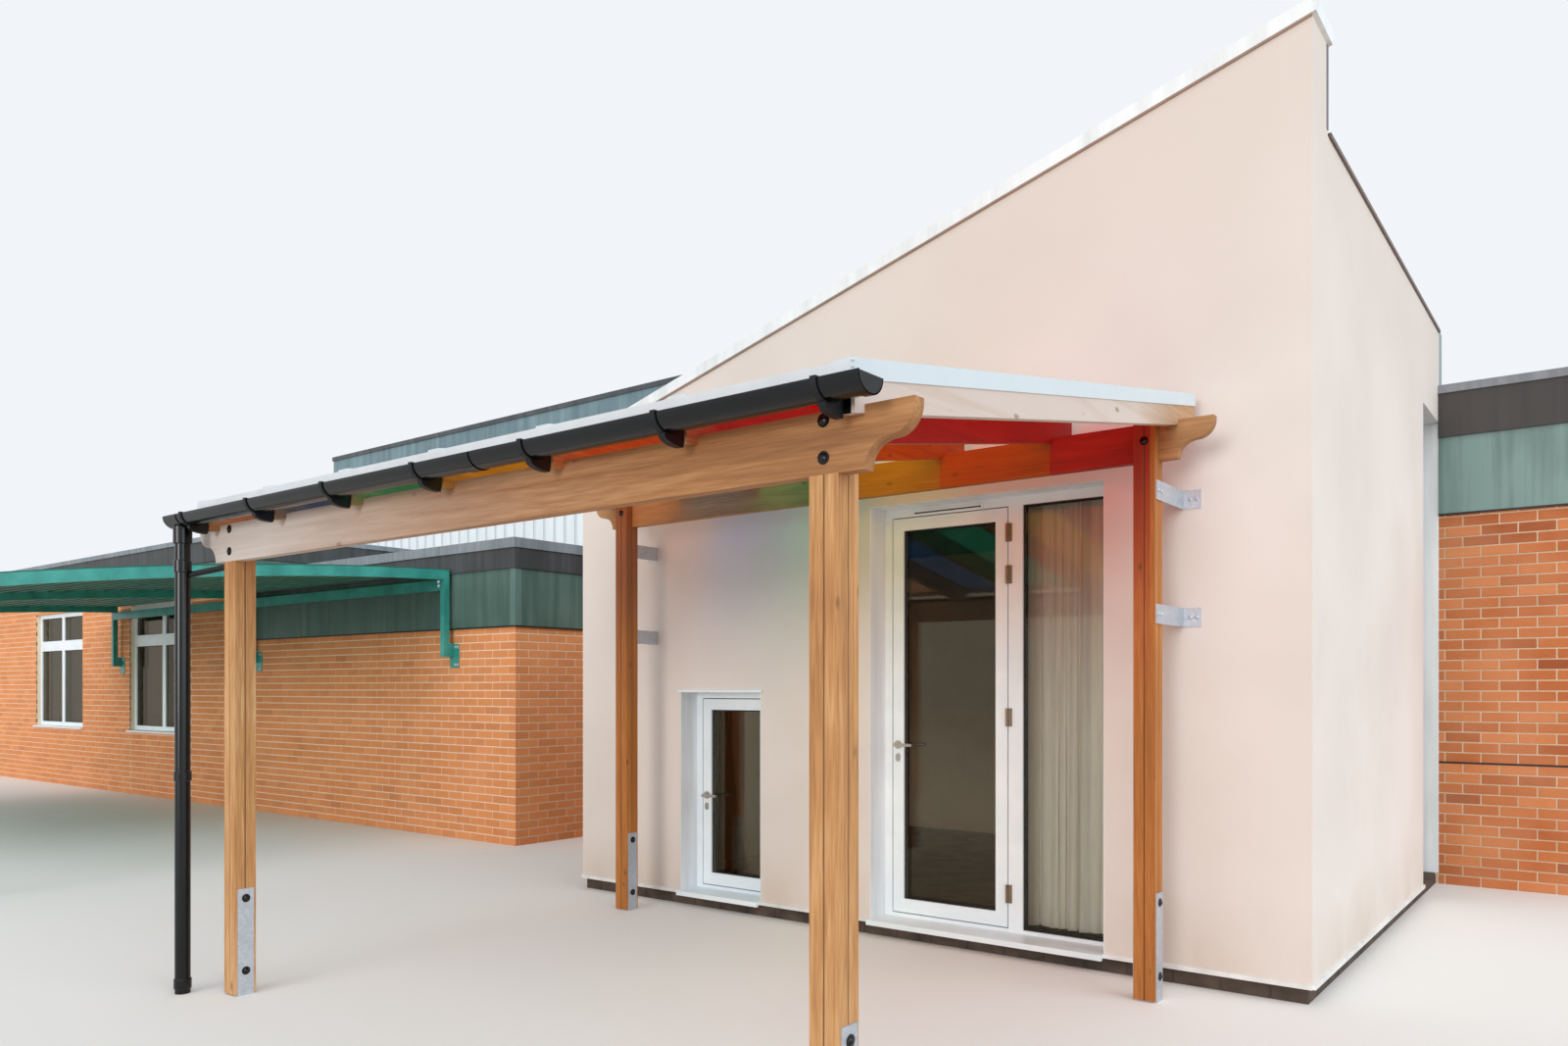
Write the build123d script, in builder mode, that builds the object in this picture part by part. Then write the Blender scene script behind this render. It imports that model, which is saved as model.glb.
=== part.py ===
from build123d import *
import os
from math import cos, radians, tan

# A school's rendered classroom block with a timber canopy, and the brick wings it stands against.
# Millimetres. X runs along the front wall, Y into the building, Z up from the paving.
# The origin is on the ground under the middle of the rendered block.

# Rendered block
block_width = 4860
block_depth = 3990
wall_thickness = 310
base_height = 75
base_inset = 25
rake_pitch = 15
side_wall_above_wing = 420
peak_above_side_wall = 480
roof_thickness = 180
roof_below_side_wall = 40
coping_cover = 20
coping_lap = 18
coping_drop = 50
trim_height = 20
trim_lap = 12
bead_height = 22
bead_reach = 14
upstand_thickness = 150

# Doors and the slot window, all set back in the wall
reveal_depth = 160
frame_depth = 70
frame_width = 50
lining_thickness = 4
leaf_gap = 6
leaf_thickness = 62
stile_width = 72
bottom_rail = 80
pane_thickness = 28
bevel_run = 40
bevel_cut = 10
mullion_width = 86
sill_thickness = 20
sill_reach = 45
sill_nose = 30
knuckle_radius = 8
knuckle_length = 100
knuckle_clearance = 0.3
knuckle_wing = 22
knuckle_shares = (0.08, 0.5, 0.84, 0.94)
main_door_left = 42
main_door_width = 1415
main_door_head = 2497
main_leaf_width = 740
main_handle_height = 1107
small_door_left = -1468
small_door_width = 689
small_door_head = 1427
small_handle_height = 720
slot_width = 750
slot_head = 3400
handle_reach = 52
lever_length = 125
lever_radius = 9
rose_radius = 25
rose_thickness = 9
keyhole_plate_width = 30
keyhole_plate_height = 50
keyhole_drop = 75

# Timber canopy
post_size = 100
post_groove = 5
post_spacing = 3430
canopy_centre = 85
wall_gap = 290
post_row_spacing = 2520
front_beam_bottom = 2035
beam_height = 175
beam_thickness = 47
beam_overhang = 245
ogee_nib = 15
canopy_pitch = 10
seat_depth = 20
rafter_width = 45
rafter_height = 120
rafter_spacing = 610
rafter_count = 7
rafter_wall_gap = 100
rafter_front_reach = 72
sheet_thickness = 16
sheet_gap = 5
sheet_front_reach = 30
bar_width = 60
bar_thickness = 10
flashing_drop = 48
flashing_thickness = 4
gutter_width = 125
gutter_height = 85
gutter_wall = 4
gutter_lip = 28
gutter_left_reach = 175
gutter_right_reach = 100
gutter_below_sheet = 36
clip_width = 22
clip_thickness = 4
pipe_radius = 34
pipe_wall = 3
shoe_height = 500
shoe_width = 76
shoe_thickness = 6
bracket_thickness = 6
bracket_height = 90
bracket_leg = 88
bracket_grip = 90
bracket_heights = (1781, 2349)

# Brick wing behind the block
wing_right_reach = 2400
wing_left_reach = 2390
wing_depth = 5000
brick_top = 2722
wing_band_height = 558
wing_fascia_height = 320
wing_coping_height = 60
band_thickness = 25
fascia_thickness = 45
wing_coping_lap = 60
wing_roof_below_fascia = 80
wing_roof_thickness = 200
floor_thickness = 75
corner_gap = 2

# Brick wings to the left: a low one beside the block and a taller one beyond it
left_wing_reach = 2935
low_wing_length = 5110
low_band_height = 524
low_fascia_height = 185
low_coping_height = 90
far_wing_length = 8180
far_band_height = 278
far_fascia_height = 260
window_offsets = (1650, 5060)
window_width = 1800
window_height = 1700
window_below_band = 152
window_setback = 60
window_frame_width = 60
window_mullion = 90
window_transom = 150
window_transom_below_head = 485

# Raised hall that stands on the roofs of the left-hand wings
hall_length = 7655
hall_above_wing = 1394
hall_wall_thickness = 200
hall_fascia_height = 180
hall_back_gap = 60

# Green canopy along the left-hand wings
green_canopy_offset = 945
green_bay = 3775
green_bay_count = 2
green_reach = 4000
green_wall_height = 2580
green_middle_height = 2455
green_front_height = 2201
green_rafter_width = 60
green_rafter_height = 90
green_sheet_thickness = 10
green_sheet_lap = 25
green_beam_width = 60
green_beam_height = 100
green_leg_size = 60
green_leg_standoff = 60
green_leg_below_band = 273
green_plate_width = 140
green_plate_height = 230
green_plate_thickness = 10
green_plate_below_band = 263
green_seat_clearance = 0.2
green_post_size = 80

# Worked-out places
left = -block_width / 2
right = block_width / 2
front = -block_depth / 2
back = block_depth / 2
inner_front = front + wall_thickness
rake_rise = tan(radians(rake_pitch))
band_top = brick_top + wing_band_height
fascia_top = band_top + wing_fascia_height
coping_top = fascia_top + wing_coping_height
side_wall_height = coping_top + side_wall_above_wing
peak_height = side_wall_height + peak_above_side_wall
low_band_top = brick_top - low_fascia_height
low_brick_top = low_band_top - low_band_height
far_band_top = brick_top + far_band_height
far_fascia_top = far_band_top + far_fascia_height
far_coping_top = far_fascia_top + wing_coping_height
hall_coping_top = coping_top + hall_above_wing
hall_fascia_top = hall_coping_top - wing_coping_height
window_head = brick_top - window_below_band
window_sill = window_head - window_height
window_transom_height = window_head - window_transom_below_head
green_leg_bottom = low_brick_top - green_leg_below_band
green_plate_middle = low_brick_top - green_plate_below_band
frame_front = front + reveal_depth
post_xs = (canopy_centre - post_spacing / 2, canopy_centre + post_spacing / 2)
back_post_y = front - wall_gap - post_size / 2
front_post_y = back_post_y - post_row_spacing
front_beam_y = front_post_y - post_size / 2 + beam_thickness / 2
wall_beam_y = back_post_y + post_size / 2 - beam_thickness / 2
canopy_rise = tan(radians(canopy_pitch))
front_beam_top = front_beam_bottom + beam_height
wall_beam_top = front_beam_top + canopy_rise * (wall_beam_y - front_beam_y)
wall_beam_bottom = wall_beam_top - beam_height
rafter_xs = [canopy_centre + rafter_spacing * (i - (rafter_count - 1) / 2) for i in range(rafter_count)]
rafter_back = front - rafter_wall_gap
rafter_front = front_beam_y - rafter_front_reach
sheet_front = rafter_front - sheet_front_reach
wing_right = right + wing_right_reach
wing_left = left - wing_left_reach
wing_back = back + wing_depth
wing_inner_front = back + wall_thickness
wing_inner_back = wing_back - wall_thickness
low_right = wing_left + wall_thickness
party_right = low_right - low_wing_length
party_left = party_right - wall_thickness
far_left = party_right - far_wing_length
far_inner_left = far_left + wall_thickness
left_front = back - left_wing_reach
left_inner_front = left_front + wall_thickness
hall_right = wing_left - wing_coping_lap
hall_left = hall_right - hall_length
hall_front = back
hall_back = wing_inner_back - hall_back_gap
hall_inner_left = hall_left + hall_wall_thickness
hall_inner_right = hall_right - hall_wall_thickness
hall_inner_front = hall_front + hall_wall_thickness
hall_inner_back = hall_back - hall_wall_thickness

os.makedirs("parts", exist_ok=True)


def save(name, piece):
    piece.part.label = name
    export_step(piece.part, f"parts/{name}.step")


def rake_z(x):
    # Top of the raking front wall, under its coping
    return peak_height - coping_cover / cos(radians(rake_pitch)) - rake_rise * (right - x)


def roof_z(x):
    # Top of the block's single-pitch roof, which falls to the left
    return side_wall_height - roof_below_side_wall - rake_rise * (right - wall_thickness - x)


def canopy_z(y):
    # Underside of the canopy's rafters
    return wall_beam_top - seat_depth + canopy_rise * (y - wall_beam_y)


def upright(points, y_from, y_to):
    # A piece with the given outline in X and Z, between two depths
    with BuildPart() as piece:
        with BuildSketch(Plane.XZ.offset(-y_from)):
            with BuildLine():
                Polyline(*points, close=True)
            make_face()
        extrude(amount=y_from - y_to)
    return piece


def wall(x_from, x_to, y_from, y_to, z_from, z_to):
    # A plain length of wall, slab or board between its low and high corners
    with BuildPart() as piece:
        with BuildSketch(Plane.XY.offset(z_from)):
            with Locations(((x_from + x_to) / 2, (y_from + y_to) / 2)):
                Rectangle(x_to - x_from, y_to - y_from)
        extrude(amount=z_to - z_from)
    return piece


def several(pieces):
    # Like pieces that don't touch, kept as one part
    with BuildPart() as group:
        for piece in pieces:
            add(piece.part)
    return group


# Walls of the rendered block
def front_wall_piece(x_from, x_to, z_from):
    outline = [(x_from, z_from), (x_to, z_from), (x_to, rake_z(x_to)), (x_from, rake_z(x_from))]
    return upright(outline, front, inner_front)


main_door_right = main_door_left + main_door_width
small_door_right = small_door_left + small_door_width
front_wall_pieces = {
    "front_wall_left": (left, small_door_left, base_height),
    "front_wall_over_small_door": (small_door_left, small_door_right, small_door_head),
    "front_wall_middle": (small_door_right, main_door_left, base_height),
    "front_wall_over_main_door": (main_door_left, main_door_right, main_door_head),
    "front_wall_right": (main_door_right, right, base_height),
}
for name, (x_from, x_to, z_from) in front_wall_pieces.items():
    save(name, front_wall_piece(x_from, x_to, z_from))

roof_under = roof_thickness / cos(radians(rake_pitch))
inner_left = left + wall_thickness
inner_right = right - wall_thickness
left_wall_outline = [
    (left, base_height),
    (inner_left, base_height),
    (inner_left, roof_z(inner_left) - roof_under),
    (left, roof_z(left) - roof_under),
]
save("side_wall_left", upright(left_wall_outline, inner_front, back))
slot_front = back - slot_width
wall_right_top = side_wall_height - trim_height
save("side_wall_right", wall(inner_right, right, inner_front, slot_front, base_height, wall_right_top))
save("side_wall_over_slot", wall(inner_right, right, slot_front, back, slot_head, wall_right_top))

# Floor base, set in from the render so that it shows as a dark plinth
save("block_base", wall(left + base_inset, right - base_inset, front + base_inset, back, 0, base_height))

roof_outline = [
    (left, roof_z(left) - roof_under),
    (inner_right, roof_z(inner_right) - roof_under),
    (inner_right, roof_z(inner_right)),
    (left, roof_z(left)),
]
save("block_roof", upright(roof_outline, inner_front, back))

# Metal coping that caps the raking wall and laps over both faces and both ends
with BuildPart() as front_coping:
    coping_left = left - coping_lap
    coping_right = right + coping_lap
    cover_z = coping_cover / cos(radians(rake_pitch))
    with BuildSketch(Plane.XZ.offset(coping_lap - front)):
        with BuildLine():
            Polyline(
                (coping_left, rake_z(coping_left) - coping_drop),
                (coping_right, rake_z(coping_right) - coping_drop),
                (coping_right, rake_z(coping_right) + cover_z),
                (coping_left, rake_z(coping_left) + cover_z),
                close=True,
            )
        make_face()
    extrude(amount=-(wall_thickness + 2 * coping_lap))
    with BuildSketch(Plane.XZ.offset(-front)):
        with BuildLine():
            Polyline(
                (left, rake_z(left) - 2 * coping_drop),
                (right, rake_z(right) - 2 * coping_drop),
                (right, rake_z(right)),
                (left, rake_z(left)),
                close=True,
            )
        make_face()
    extrude(amount=-wall_thickness, mode=Mode.SUBTRACT)
save("front_coping", front_coping)

# Edge trim along the top of the right-hand side wall
trim_front = inner_front + coping_lap
trim_right = right + trim_lap
save("side_wall_trim", wall(inner_right, trim_right, trim_front, back, wall_right_top, side_wall_height))

# Bead under the render, broken at both doors
bead_top = base_height + bead_height
beads = [
    wall(left, small_door_left, front - bead_reach, front, base_height, bead_top),
    wall(small_door_right, main_door_left, front - bead_reach, front, base_height, bead_top),
    wall(main_door_right, right, front - bead_reach, front, base_height, bead_top),
    wall(right, right + bead_reach, front, slot_front, base_height, bead_top),
]
save("render_bead", several(beads))

# Upstand that closes the end of the block where its roof rises above the wing's coping
upstand_left = inner_right - (side_wall_height - coping_top) / rake_rise
upstand_outline = [
    (upstand_left, fascia_top),
    (right, fascia_top),
    (right, side_wall_height),
    (inner_right, side_wall_height),
    (upstand_left, coping_top),
]
save("rear_upstand", upright(upstand_outline, back, back + upstand_thickness))


# Doors and windows
def door_frame(x_from, x_to, head, leaf_from, leaf_to, light_from):
    # Outer frame and mullion, with the leaf's opening and, where there is one, the side light's
    low = base_height + sill_thickness
    with BuildPart() as frame:
        with BuildSketch(Plane.XZ.offset(-frame_front)):
            with Locations(((x_from + x_to) / 2, (low + head) / 2)):
                Rectangle(x_to - x_from, head - low)
            opening_low = low + sill_thickness
            opening_high = head - frame_width
            middle = (opening_low + opening_high) / 2
            with Locations(((leaf_from + leaf_to) / 2, middle)):
                Rectangle(leaf_to - leaf_from, opening_high - opening_low, mode=Mode.SUBTRACT)
            if light_from is not None:
                light_to = x_to - frame_width
                with Locations(((light_from + light_to) / 2, middle)):
                    Rectangle(light_to - light_from, opening_high - opening_low, mode=Mode.SUBTRACT)
        extrude(amount=-frame_depth)
    return frame


def door_leaf(x_from, x_to, low, high):
    # Stiles and rails round one pane; the free edge is bevelled so that it swings clear of the jamb
    with BuildPart() as leaf:
        with BuildSketch(Plane.XZ.offset(-frame_front)):
            with Locations(((x_from + x_to) / 2, (low + high) / 2)):
                Rectangle(x_to - x_from, high - low)
            pane_low = low + bottom_rail
            pane_high = high - stile_width
            with Locations(((x_from + x_to) / 2, (pane_low + pane_high) / 2)):
                Rectangle(x_to - x_from - 2 * stile_width, pane_high - pane_low, mode=Mode.SUBTRACT)
        extrude(amount=-leaf_thickness)
        free_edge = leaf.edges().filter_by(Axis.Z).group_by(Axis.X)[0].sort_by(Axis.Y)[-1]
        inner_face = leaf.faces().sort_by(Axis.Y)[-1]
        chamfer(free_edge, bevel_cut, bevel_run, reference=inner_face)
    return leaf


def pane(x_from, x_to, z_from, z_to):
    y_from = frame_front + (leaf_thickness - pane_thickness) / 2
    return wall(x_from, x_to, y_from, y_from + pane_thickness, z_from, z_to)


def lever_set(x, z):
    # Rose, neck and lever on each face, with an oval keyhole plate below
    with BuildPart() as handles:
        for face_y, out in ((frame_front, -1), (frame_front + leaf_thickness, 1)):
            face = Plane(origin=(x, face_y, z), x_dir=(1, 0, 0), z_dir=(0, out, 0))
            with BuildSketch(face):
                Circle(rose_radius)
                with Locations((0, out * keyhole_drop)):
                    Ellipse(keyhole_plate_width / 2, keyhole_plate_height / 2)
            extrude(amount=rose_thickness)
            with BuildSketch(face.offset(rose_thickness)):
                Circle(lever_radius)
            extrude(amount=handle_reach - rose_thickness)
            lever_y = face_y + out * (handle_reach - lever_radius)
            with BuildSketch(Plane(origin=(x - lever_radius, lever_y, z), z_dir=(1, 0, 0))):
                Circle(lever_radius)
            extrude(amount=lever_length)
    return handles


def hinge_knuckles(leaf_edge, low, high):
    # Barrels on the leaf's hinge line, each with a wing seated on the frame beside it
    y = frame_front - knuckle_radius - knuckle_clearance
    wing_from = leaf_edge + leaf_gap
    with BuildPart() as knuckles:
        for share in knuckle_shares:
            with BuildSketch(Plane.XY.offset(low + (high - low) * share - knuckle_length / 2)):
                with Locations((leaf_edge, y)):
                    Circle(knuckle_radius)
                    Rectangle(wing_from - leaf_edge, knuckle_radius, align=(Align.MIN, Align.MIN))
                with Locations((wing_from, y)):
                    Rectangle(knuckle_wing, frame_front - y, align=(Align.MIN, Align.MIN))
            extrude(amount=knuckle_length)
    return knuckles


leaf_low = base_height + 2 * sill_thickness + leaf_gap
main_leaf_left = main_door_left + lining_thickness + frame_width + leaf_gap
main_leaf_right = main_leaf_left + main_leaf_width
main_leaf_high = main_door_head - lining_thickness - frame_width - leaf_gap
main_light_left = main_leaf_right + leaf_gap + mullion_width
main_frame = door_frame(
    main_door_left + lining_thickness,
    main_door_right - lining_thickness,
    main_door_head - lining_thickness,
    main_leaf_left - leaf_gap,
    main_leaf_right + leaf_gap,
    main_light_left,
)
save("main_door_frame", main_frame)
save("main_door_leaf", door_leaf(main_leaf_left, main_leaf_right, leaf_low, main_leaf_high))
save(
    "main_door_pane",
    pane(
        main_leaf_left + stile_width,
        main_leaf_right - stile_width,
        leaf_low + bottom_rail,
        main_leaf_high - stile_width,
    ),
)
save("main_door_handles", lever_set(main_leaf_left + stile_width / 2, main_handle_height))

small_leaf_left = small_door_left + lining_thickness + frame_width + leaf_gap
small_leaf_right = small_door_right - lining_thickness - frame_width - leaf_gap
small_leaf_high = small_door_head - lining_thickness - frame_width - leaf_gap
small_frame = door_frame(
    small_door_left + lining_thickness,
    small_door_right - lining_thickness,
    small_door_head - lining_thickness,
    small_leaf_left - leaf_gap,
    small_leaf_right + leaf_gap,
    None,
)
save("small_door_frame", small_frame)
save("small_door_leaf", door_leaf(small_leaf_left, small_leaf_right, leaf_low, small_leaf_high))
save(
    "small_door_pane",
    pane(
        small_leaf_left + stile_width,
        small_leaf_right - stile_width,
        leaf_low + bottom_rail,
        small_leaf_high - stile_width,
    ),
)
save("small_door_handles", lever_set(small_leaf_left + stile_width / 2, small_handle_height))

# Slot window at the far end of the right-hand side wall, glazed from the base to its head
slot_frame_outer = right - reveal_depth
slot_low = base_height + lining_thickness
with BuildPart() as slot_window_frame:
    with BuildSketch(Plane.YZ.offset(slot_frame_outer - frame_depth)):
        slot_middle = ((slot_front + back) / 2, (slot_low + slot_head - lining_thickness) / 2)
        slot_clear = slot_width - 2 * lining_thickness
        slot_high = slot_head - lining_thickness - slot_low
        with Locations(slot_middle):
            Rectangle(slot_clear, slot_high)
            Rectangle(slot_clear - 2 * frame_width, slot_high - 2 * frame_width, mode=Mode.SUBTRACT)
    extrude(amount=frame_depth)
save("slot_window_frame", slot_window_frame)

light_low = base_height + 2 * sill_thickness
side_light = pane(
    main_light_left,
    main_door_right - lining_thickness - frame_width,
    light_low,
    main_door_head - lining_thickness - frame_width,
)
slot_pane = wall(
    slot_frame_outer - (frame_depth + pane_thickness) / 2,
    slot_frame_outer - (frame_depth - pane_thickness) / 2,
    slot_front + lining_thickness + frame_width,
    back - lining_thickness - frame_width,
    slot_low + frame_width,
    slot_head - lining_thickness - frame_width,
)
save("fixed_panes", several([side_light, slot_pane]))


# Metal linings of the reveals: two jambs and a head for each opening
def linings(x_from, x_to, head):
    low = base_height + sill_thickness
    return [
        wall(x_from, x_from + lining_thickness, front, frame_front + frame_depth, low, head),
        wall(x_to - lining_thickness, x_to, front, frame_front + frame_depth, low, head),
        wall(
            x_from + 2 * lining_thickness,
            x_to - 2 * lining_thickness,
            front,
            frame_front + frame_depth,
            head - lining_thickness,
            head,
        ),
    ]


lining_inner = slot_frame_outer - frame_depth
slot_linings = [
    wall(lining_inner, right, slot_front, slot_front + lining_thickness, slot_low, slot_head),
    wall(lining_inner, right, back - lining_thickness, back, slot_low, slot_head),
    wall(
        lining_inner,
        right,
        slot_front + 2 * lining_thickness,
        back - 2 * lining_thickness,
        slot_head - lining_thickness,
        slot_head,
    ),
]
main_linings = linings(main_door_left, main_door_right, main_door_head)
small_linings = linings(small_door_left, small_door_right, small_door_head)
save("reveal_linings", several(main_linings + small_linings + slot_linings))


def sill(x_from, x_to):
    # Projecting sill with a nose that drops in front of the plinth
    outline = [
        (front - sill_reach, base_height + sill_thickness - sill_nose),
        (front - sill_reach + sill_thickness, base_height + sill_thickness - sill_nose),
        (front - sill_reach + sill_thickness, base_height),
        (frame_front + frame_depth, base_height),
        (frame_front + frame_depth, base_height + sill_thickness),
        (front - sill_reach, base_height + sill_thickness),
    ]
    with BuildPart() as piece:
        with BuildSketch(Plane.YZ.offset(x_from)):
            with BuildLine():
                Polyline(*outline, close=True)
            make_face()
        extrude(amount=x_to - x_from)
    return piece


sills = [sill(main_door_left, main_door_right), sill(small_door_left, small_door_right)]
save("door_sills", several(sills))

knuckle_sets = [
    hinge_knuckles(main_leaf_right, leaf_low, main_leaf_high),
    hinge_knuckles(small_leaf_right, leaf_low, small_leaf_high),
]
save("door_hinges", several(knuckle_sets))


# Canopy
def post(x, y, beam_y, beam_bottom):
    # Grooved post whose top is halved to house the beam
    with BuildPart() as piece:
        with BuildSketch(Plane.XY.offset(shoe_thickness)):
            with Locations((x, y)):
                Rectangle(post_size, post_size)
                with PolarLocations(post_size / 2, 4):
                    Rectangle(post_groove, post_groove, rotation=45, mode=Mode.SUBTRACT)
        extrude(amount=beam_bottom + beam_height - shoe_thickness)
        with BuildSketch(Plane.XY.offset(beam_bottom)):
            with Locations((x, beam_y)):
                Rectangle(2 * post_size, beam_thickness)
        extrude(amount=beam_height, mode=Mode.SUBTRACT)
    return piece


front_posts = [post(x, front_post_y, front_beam_y, front_beam_bottom) for x in post_xs]
back_posts = [post(x, back_post_y, wall_beam_y, wall_beam_bottom) for x in post_xs]
save("canopy_front_posts", several(front_posts))
save("canopy_back_posts", several(back_posts))


def beam(y, bottom):
    # Beam with an ogee cut at each end: a nib, a rounded belly and a hollow
    half_length = (post_spacing + post_size) / 2 + beam_overhang
    ogee_radius = (beam_height - ogee_nib) / 2
    with BuildPart() as piece:
        with BuildSketch(Plane.XZ.offset(beam_thickness / 2 - y)):
            with BuildLine():
                tip = (canopy_centre + half_length, bottom + beam_height)
                nib = Line(tip, (tip[0], tip[1] - ogee_nib))
                belly = JernArc(start=nib @ 1, tangent=(0, -1), radius=ogee_radius, arc_size=-90)
                hollow = JernArc(start=belly @ 1, tangent=belly % 1, radius=ogee_radius, arc_size=90)
                Line(hollow @ 1, (canopy_centre, bottom))
                Line((canopy_centre, bottom + beam_height), tip)
                mirror(about=Plane.YZ.offset(canopy_centre))
            make_face()
        extrude(amount=-beam_thickness)
    return piece


save("canopy_front_beam", beam(front_beam_y, front_beam_bottom))
save("canopy_wall_beam", beam(wall_beam_y, wall_beam_bottom))

with BuildPart() as rafters:
    rafter_rise = rafter_height / cos(radians(canopy_pitch))
    for x in rafter_xs:
        with BuildSketch(Plane.YZ.offset(x - rafter_width / 2)):
            with BuildLine():
                Polyline(
                    (rafter_front, canopy_z(rafter_front)),
                    (rafter_back, canopy_z(rafter_back)),
                    (rafter_back, canopy_z(rafter_back) + rafter_rise),
                    (rafter_front, canopy_z(rafter_front) + rafter_rise),
                    close=True,
                )
            make_face()
            for beam_y, beam_top in ((front_beam_y, front_beam_top), (wall_beam_y, wall_beam_top)):
                with Locations((beam_y, beam_top - seat_depth)):
                    Rectangle(beam_thickness, 2 * seat_depth, mode=Mode.SUBTRACT)
        extrude(amount=rafter_width)
save("canopy_rafters", rafters)


def sloped(x_from, x_to, y_from, y_to, low, high):
    # A flat piece that lies with the canopy's pitch, low and high above the rafters' underside
    outline = [
        (y_from, canopy_z(y_from) + low),
        (y_to, canopy_z(y_to) + low),
        (y_to, canopy_z(y_to) + high),
        (y_from, canopy_z(y_from) + high),
    ]
    with BuildPart() as piece:
        with BuildSketch(Plane.YZ.offset(x_from)):
            with BuildLine():
                Polyline(*outline, close=True)
            make_face()
        extrude(amount=x_to - x_from)
    return piece


sheet_low = rafter_rise
sheet_high = sheet_low + sheet_thickness
sheets = [
    sloped(x_from + sheet_gap, x_to - sheet_gap, sheet_front, rafter_back, sheet_low, sheet_high)
    for x_from, x_to in zip(rafter_xs, rafter_xs[1:])
]
save("canopy_roof_sheets", several(sheets))

bar_high = sheet_high + bar_thickness
bars = [
    sloped(x - bar_width / 2, x + bar_width / 2, sheet_front, rafter_back, sheet_high, bar_high)
    for x in rafter_xs[1:-1]
]
save("canopy_glazing_bars", several(bars))


def side_flashing(x_rafter, side):
    # Angle that covers the outer sheet's edge and laps down the outer rafter
    outer = x_rafter + side * (rafter_width / 2 + flashing_thickness)
    face = x_rafter + side * rafter_width / 2
    inner = x_rafter - side * bar_width / 2
    top_from, top_to = sorted((outer, inner))
    drop_from, drop_to = sorted((outer, face))
    with BuildPart() as piece:
        top = sloped(top_from, top_to, sheet_front, rafter_back, sheet_high, bar_high)
        drop = sloped(drop_from, drop_to, sheet_front, rafter_back, sheet_high - flashing_drop, sheet_high)
        add(top.part)
        add(drop.part)
    return piece


flashings = [side_flashing(rafter_xs[0], -1), side_flashing(rafter_xs[-1], 1)]
save("canopy_side_flashings", several(flashings))

# Gutter along the front edge, under the sheets' drip
gutter_left = rafter_xs[0] - gutter_left_reach
gutter_right = rafter_xs[-1] + gutter_right_reach
gutter_back = rafter_front - clip_thickness
gutter_top = canopy_z(sheet_front) + sheet_low - gutter_below_sheet
gutter_bottom = gutter_top - gutter_height
gutter_middle = gutter_back - gutter_width / 2


def trough(x_from, x_to, shrink):
    # The gutter's section: straight lips over a half ellipse
    half_width = gutter_width / 2 - shrink
    with BuildPart() as piece:
        with BuildSketch(Plane.YZ.offset(x_from)):
            with BuildLine():
                Polyline(
                    (gutter_middle - half_width, gutter_top - gutter_lip),
                    (gutter_middle - half_width, gutter_top),
                    (gutter_middle + half_width, gutter_top),
                    (gutter_middle + half_width, gutter_top - gutter_lip),
                )
                EllipticalCenterArc(
                    (gutter_middle, gutter_top - gutter_lip),
                    half_width,
                    gutter_height - gutter_lip - shrink,
                    start_angle=180,
                    arc_size=180,
                )
            make_face()
        extrude(amount=x_to - x_from)
    return piece


with BuildPart() as gutter:
    add(trough(gutter_left, gutter_right, 0).part)
    add(trough(gutter_left + gutter_wall, gutter_right - gutter_wall, gutter_wall).part, mode=Mode.SUBTRACT)
save("canopy_gutter", gutter)

# Downpipe from the gutter's left end to the ground
pipe_x = gutter_left + 2 * pipe_radius + gutter_wall
with BuildPart() as downpipe:
    with BuildSketch():
        with Locations((pipe_x, gutter_middle)):
            Circle(pipe_radius)
            Circle(pipe_radius - pipe_wall, mode=Mode.SUBTRACT)
    extrude(amount=gutter_bottom)
save("canopy_downpipe", downpipe)

# Clips that hang the gutter from the rafters' ends
clips = []
for x in rafter_xs:
    with BuildPart() as clip:
        with BuildSketch(Plane.YZ.offset(x - clip_width / 2)):
            with Locations((rafter_front - clip_thickness / 2, (gutter_top + canopy_z(rafter_front)) / 2)):
                Rectangle(clip_thickness, gutter_top - canopy_z(rafter_front))
        extrude(amount=clip_width)
    clips.append(clip)
save("gutter_clips", several(clips))


def wall_bracket(x_post, side, z):
    # Bent plate: one leg on the post's outer face, an arm to the wall and a leg flat on the wall
    face = x_post + side * post_size / 2
    with BuildPart() as piece:
        with BuildSketch(Plane.XY.offset(z - bracket_height / 2)):
            arm_from, arm_to = sorted((face, face + side * bracket_thickness))
            arm_front = back_post_y + post_size / 2 - bracket_grip
            with Locations(((arm_from + arm_to) / 2, (arm_front + front) / 2)):
                Rectangle(bracket_thickness, front - arm_front)
            with Locations((face + side * bracket_leg / 2, front - bracket_thickness / 2)):
                Rectangle(bracket_leg, bracket_thickness)
        extrude(amount=bracket_height)
    return piece


brackets = [wall_bracket(x, side, z) for x, side in zip(post_xs, (-1, 1)) for z in bracket_heights]
save("canopy_wall_brackets", several(brackets))


def shoe(x, y):
    # Steel shoe: a foot plate with a cheek up each side of the post
    with BuildPart() as piece:
        with BuildSketch(Plane.XZ.offset(shoe_width / 2 - y)):
            with Locations((x, shoe_height / 2)):
                Rectangle(post_size + 2 * shoe_thickness, shoe_height)
            with Locations((x, shoe_height / 2 + shoe_thickness)):
                Rectangle(post_size, shoe_height, mode=Mode.SUBTRACT)
        extrude(amount=-shoe_width)
    return piece


shoes = [shoe(x, y) for x in post_xs for y in (front_post_y, back_post_y)]
save("post_shoes", several(shoes))

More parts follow.
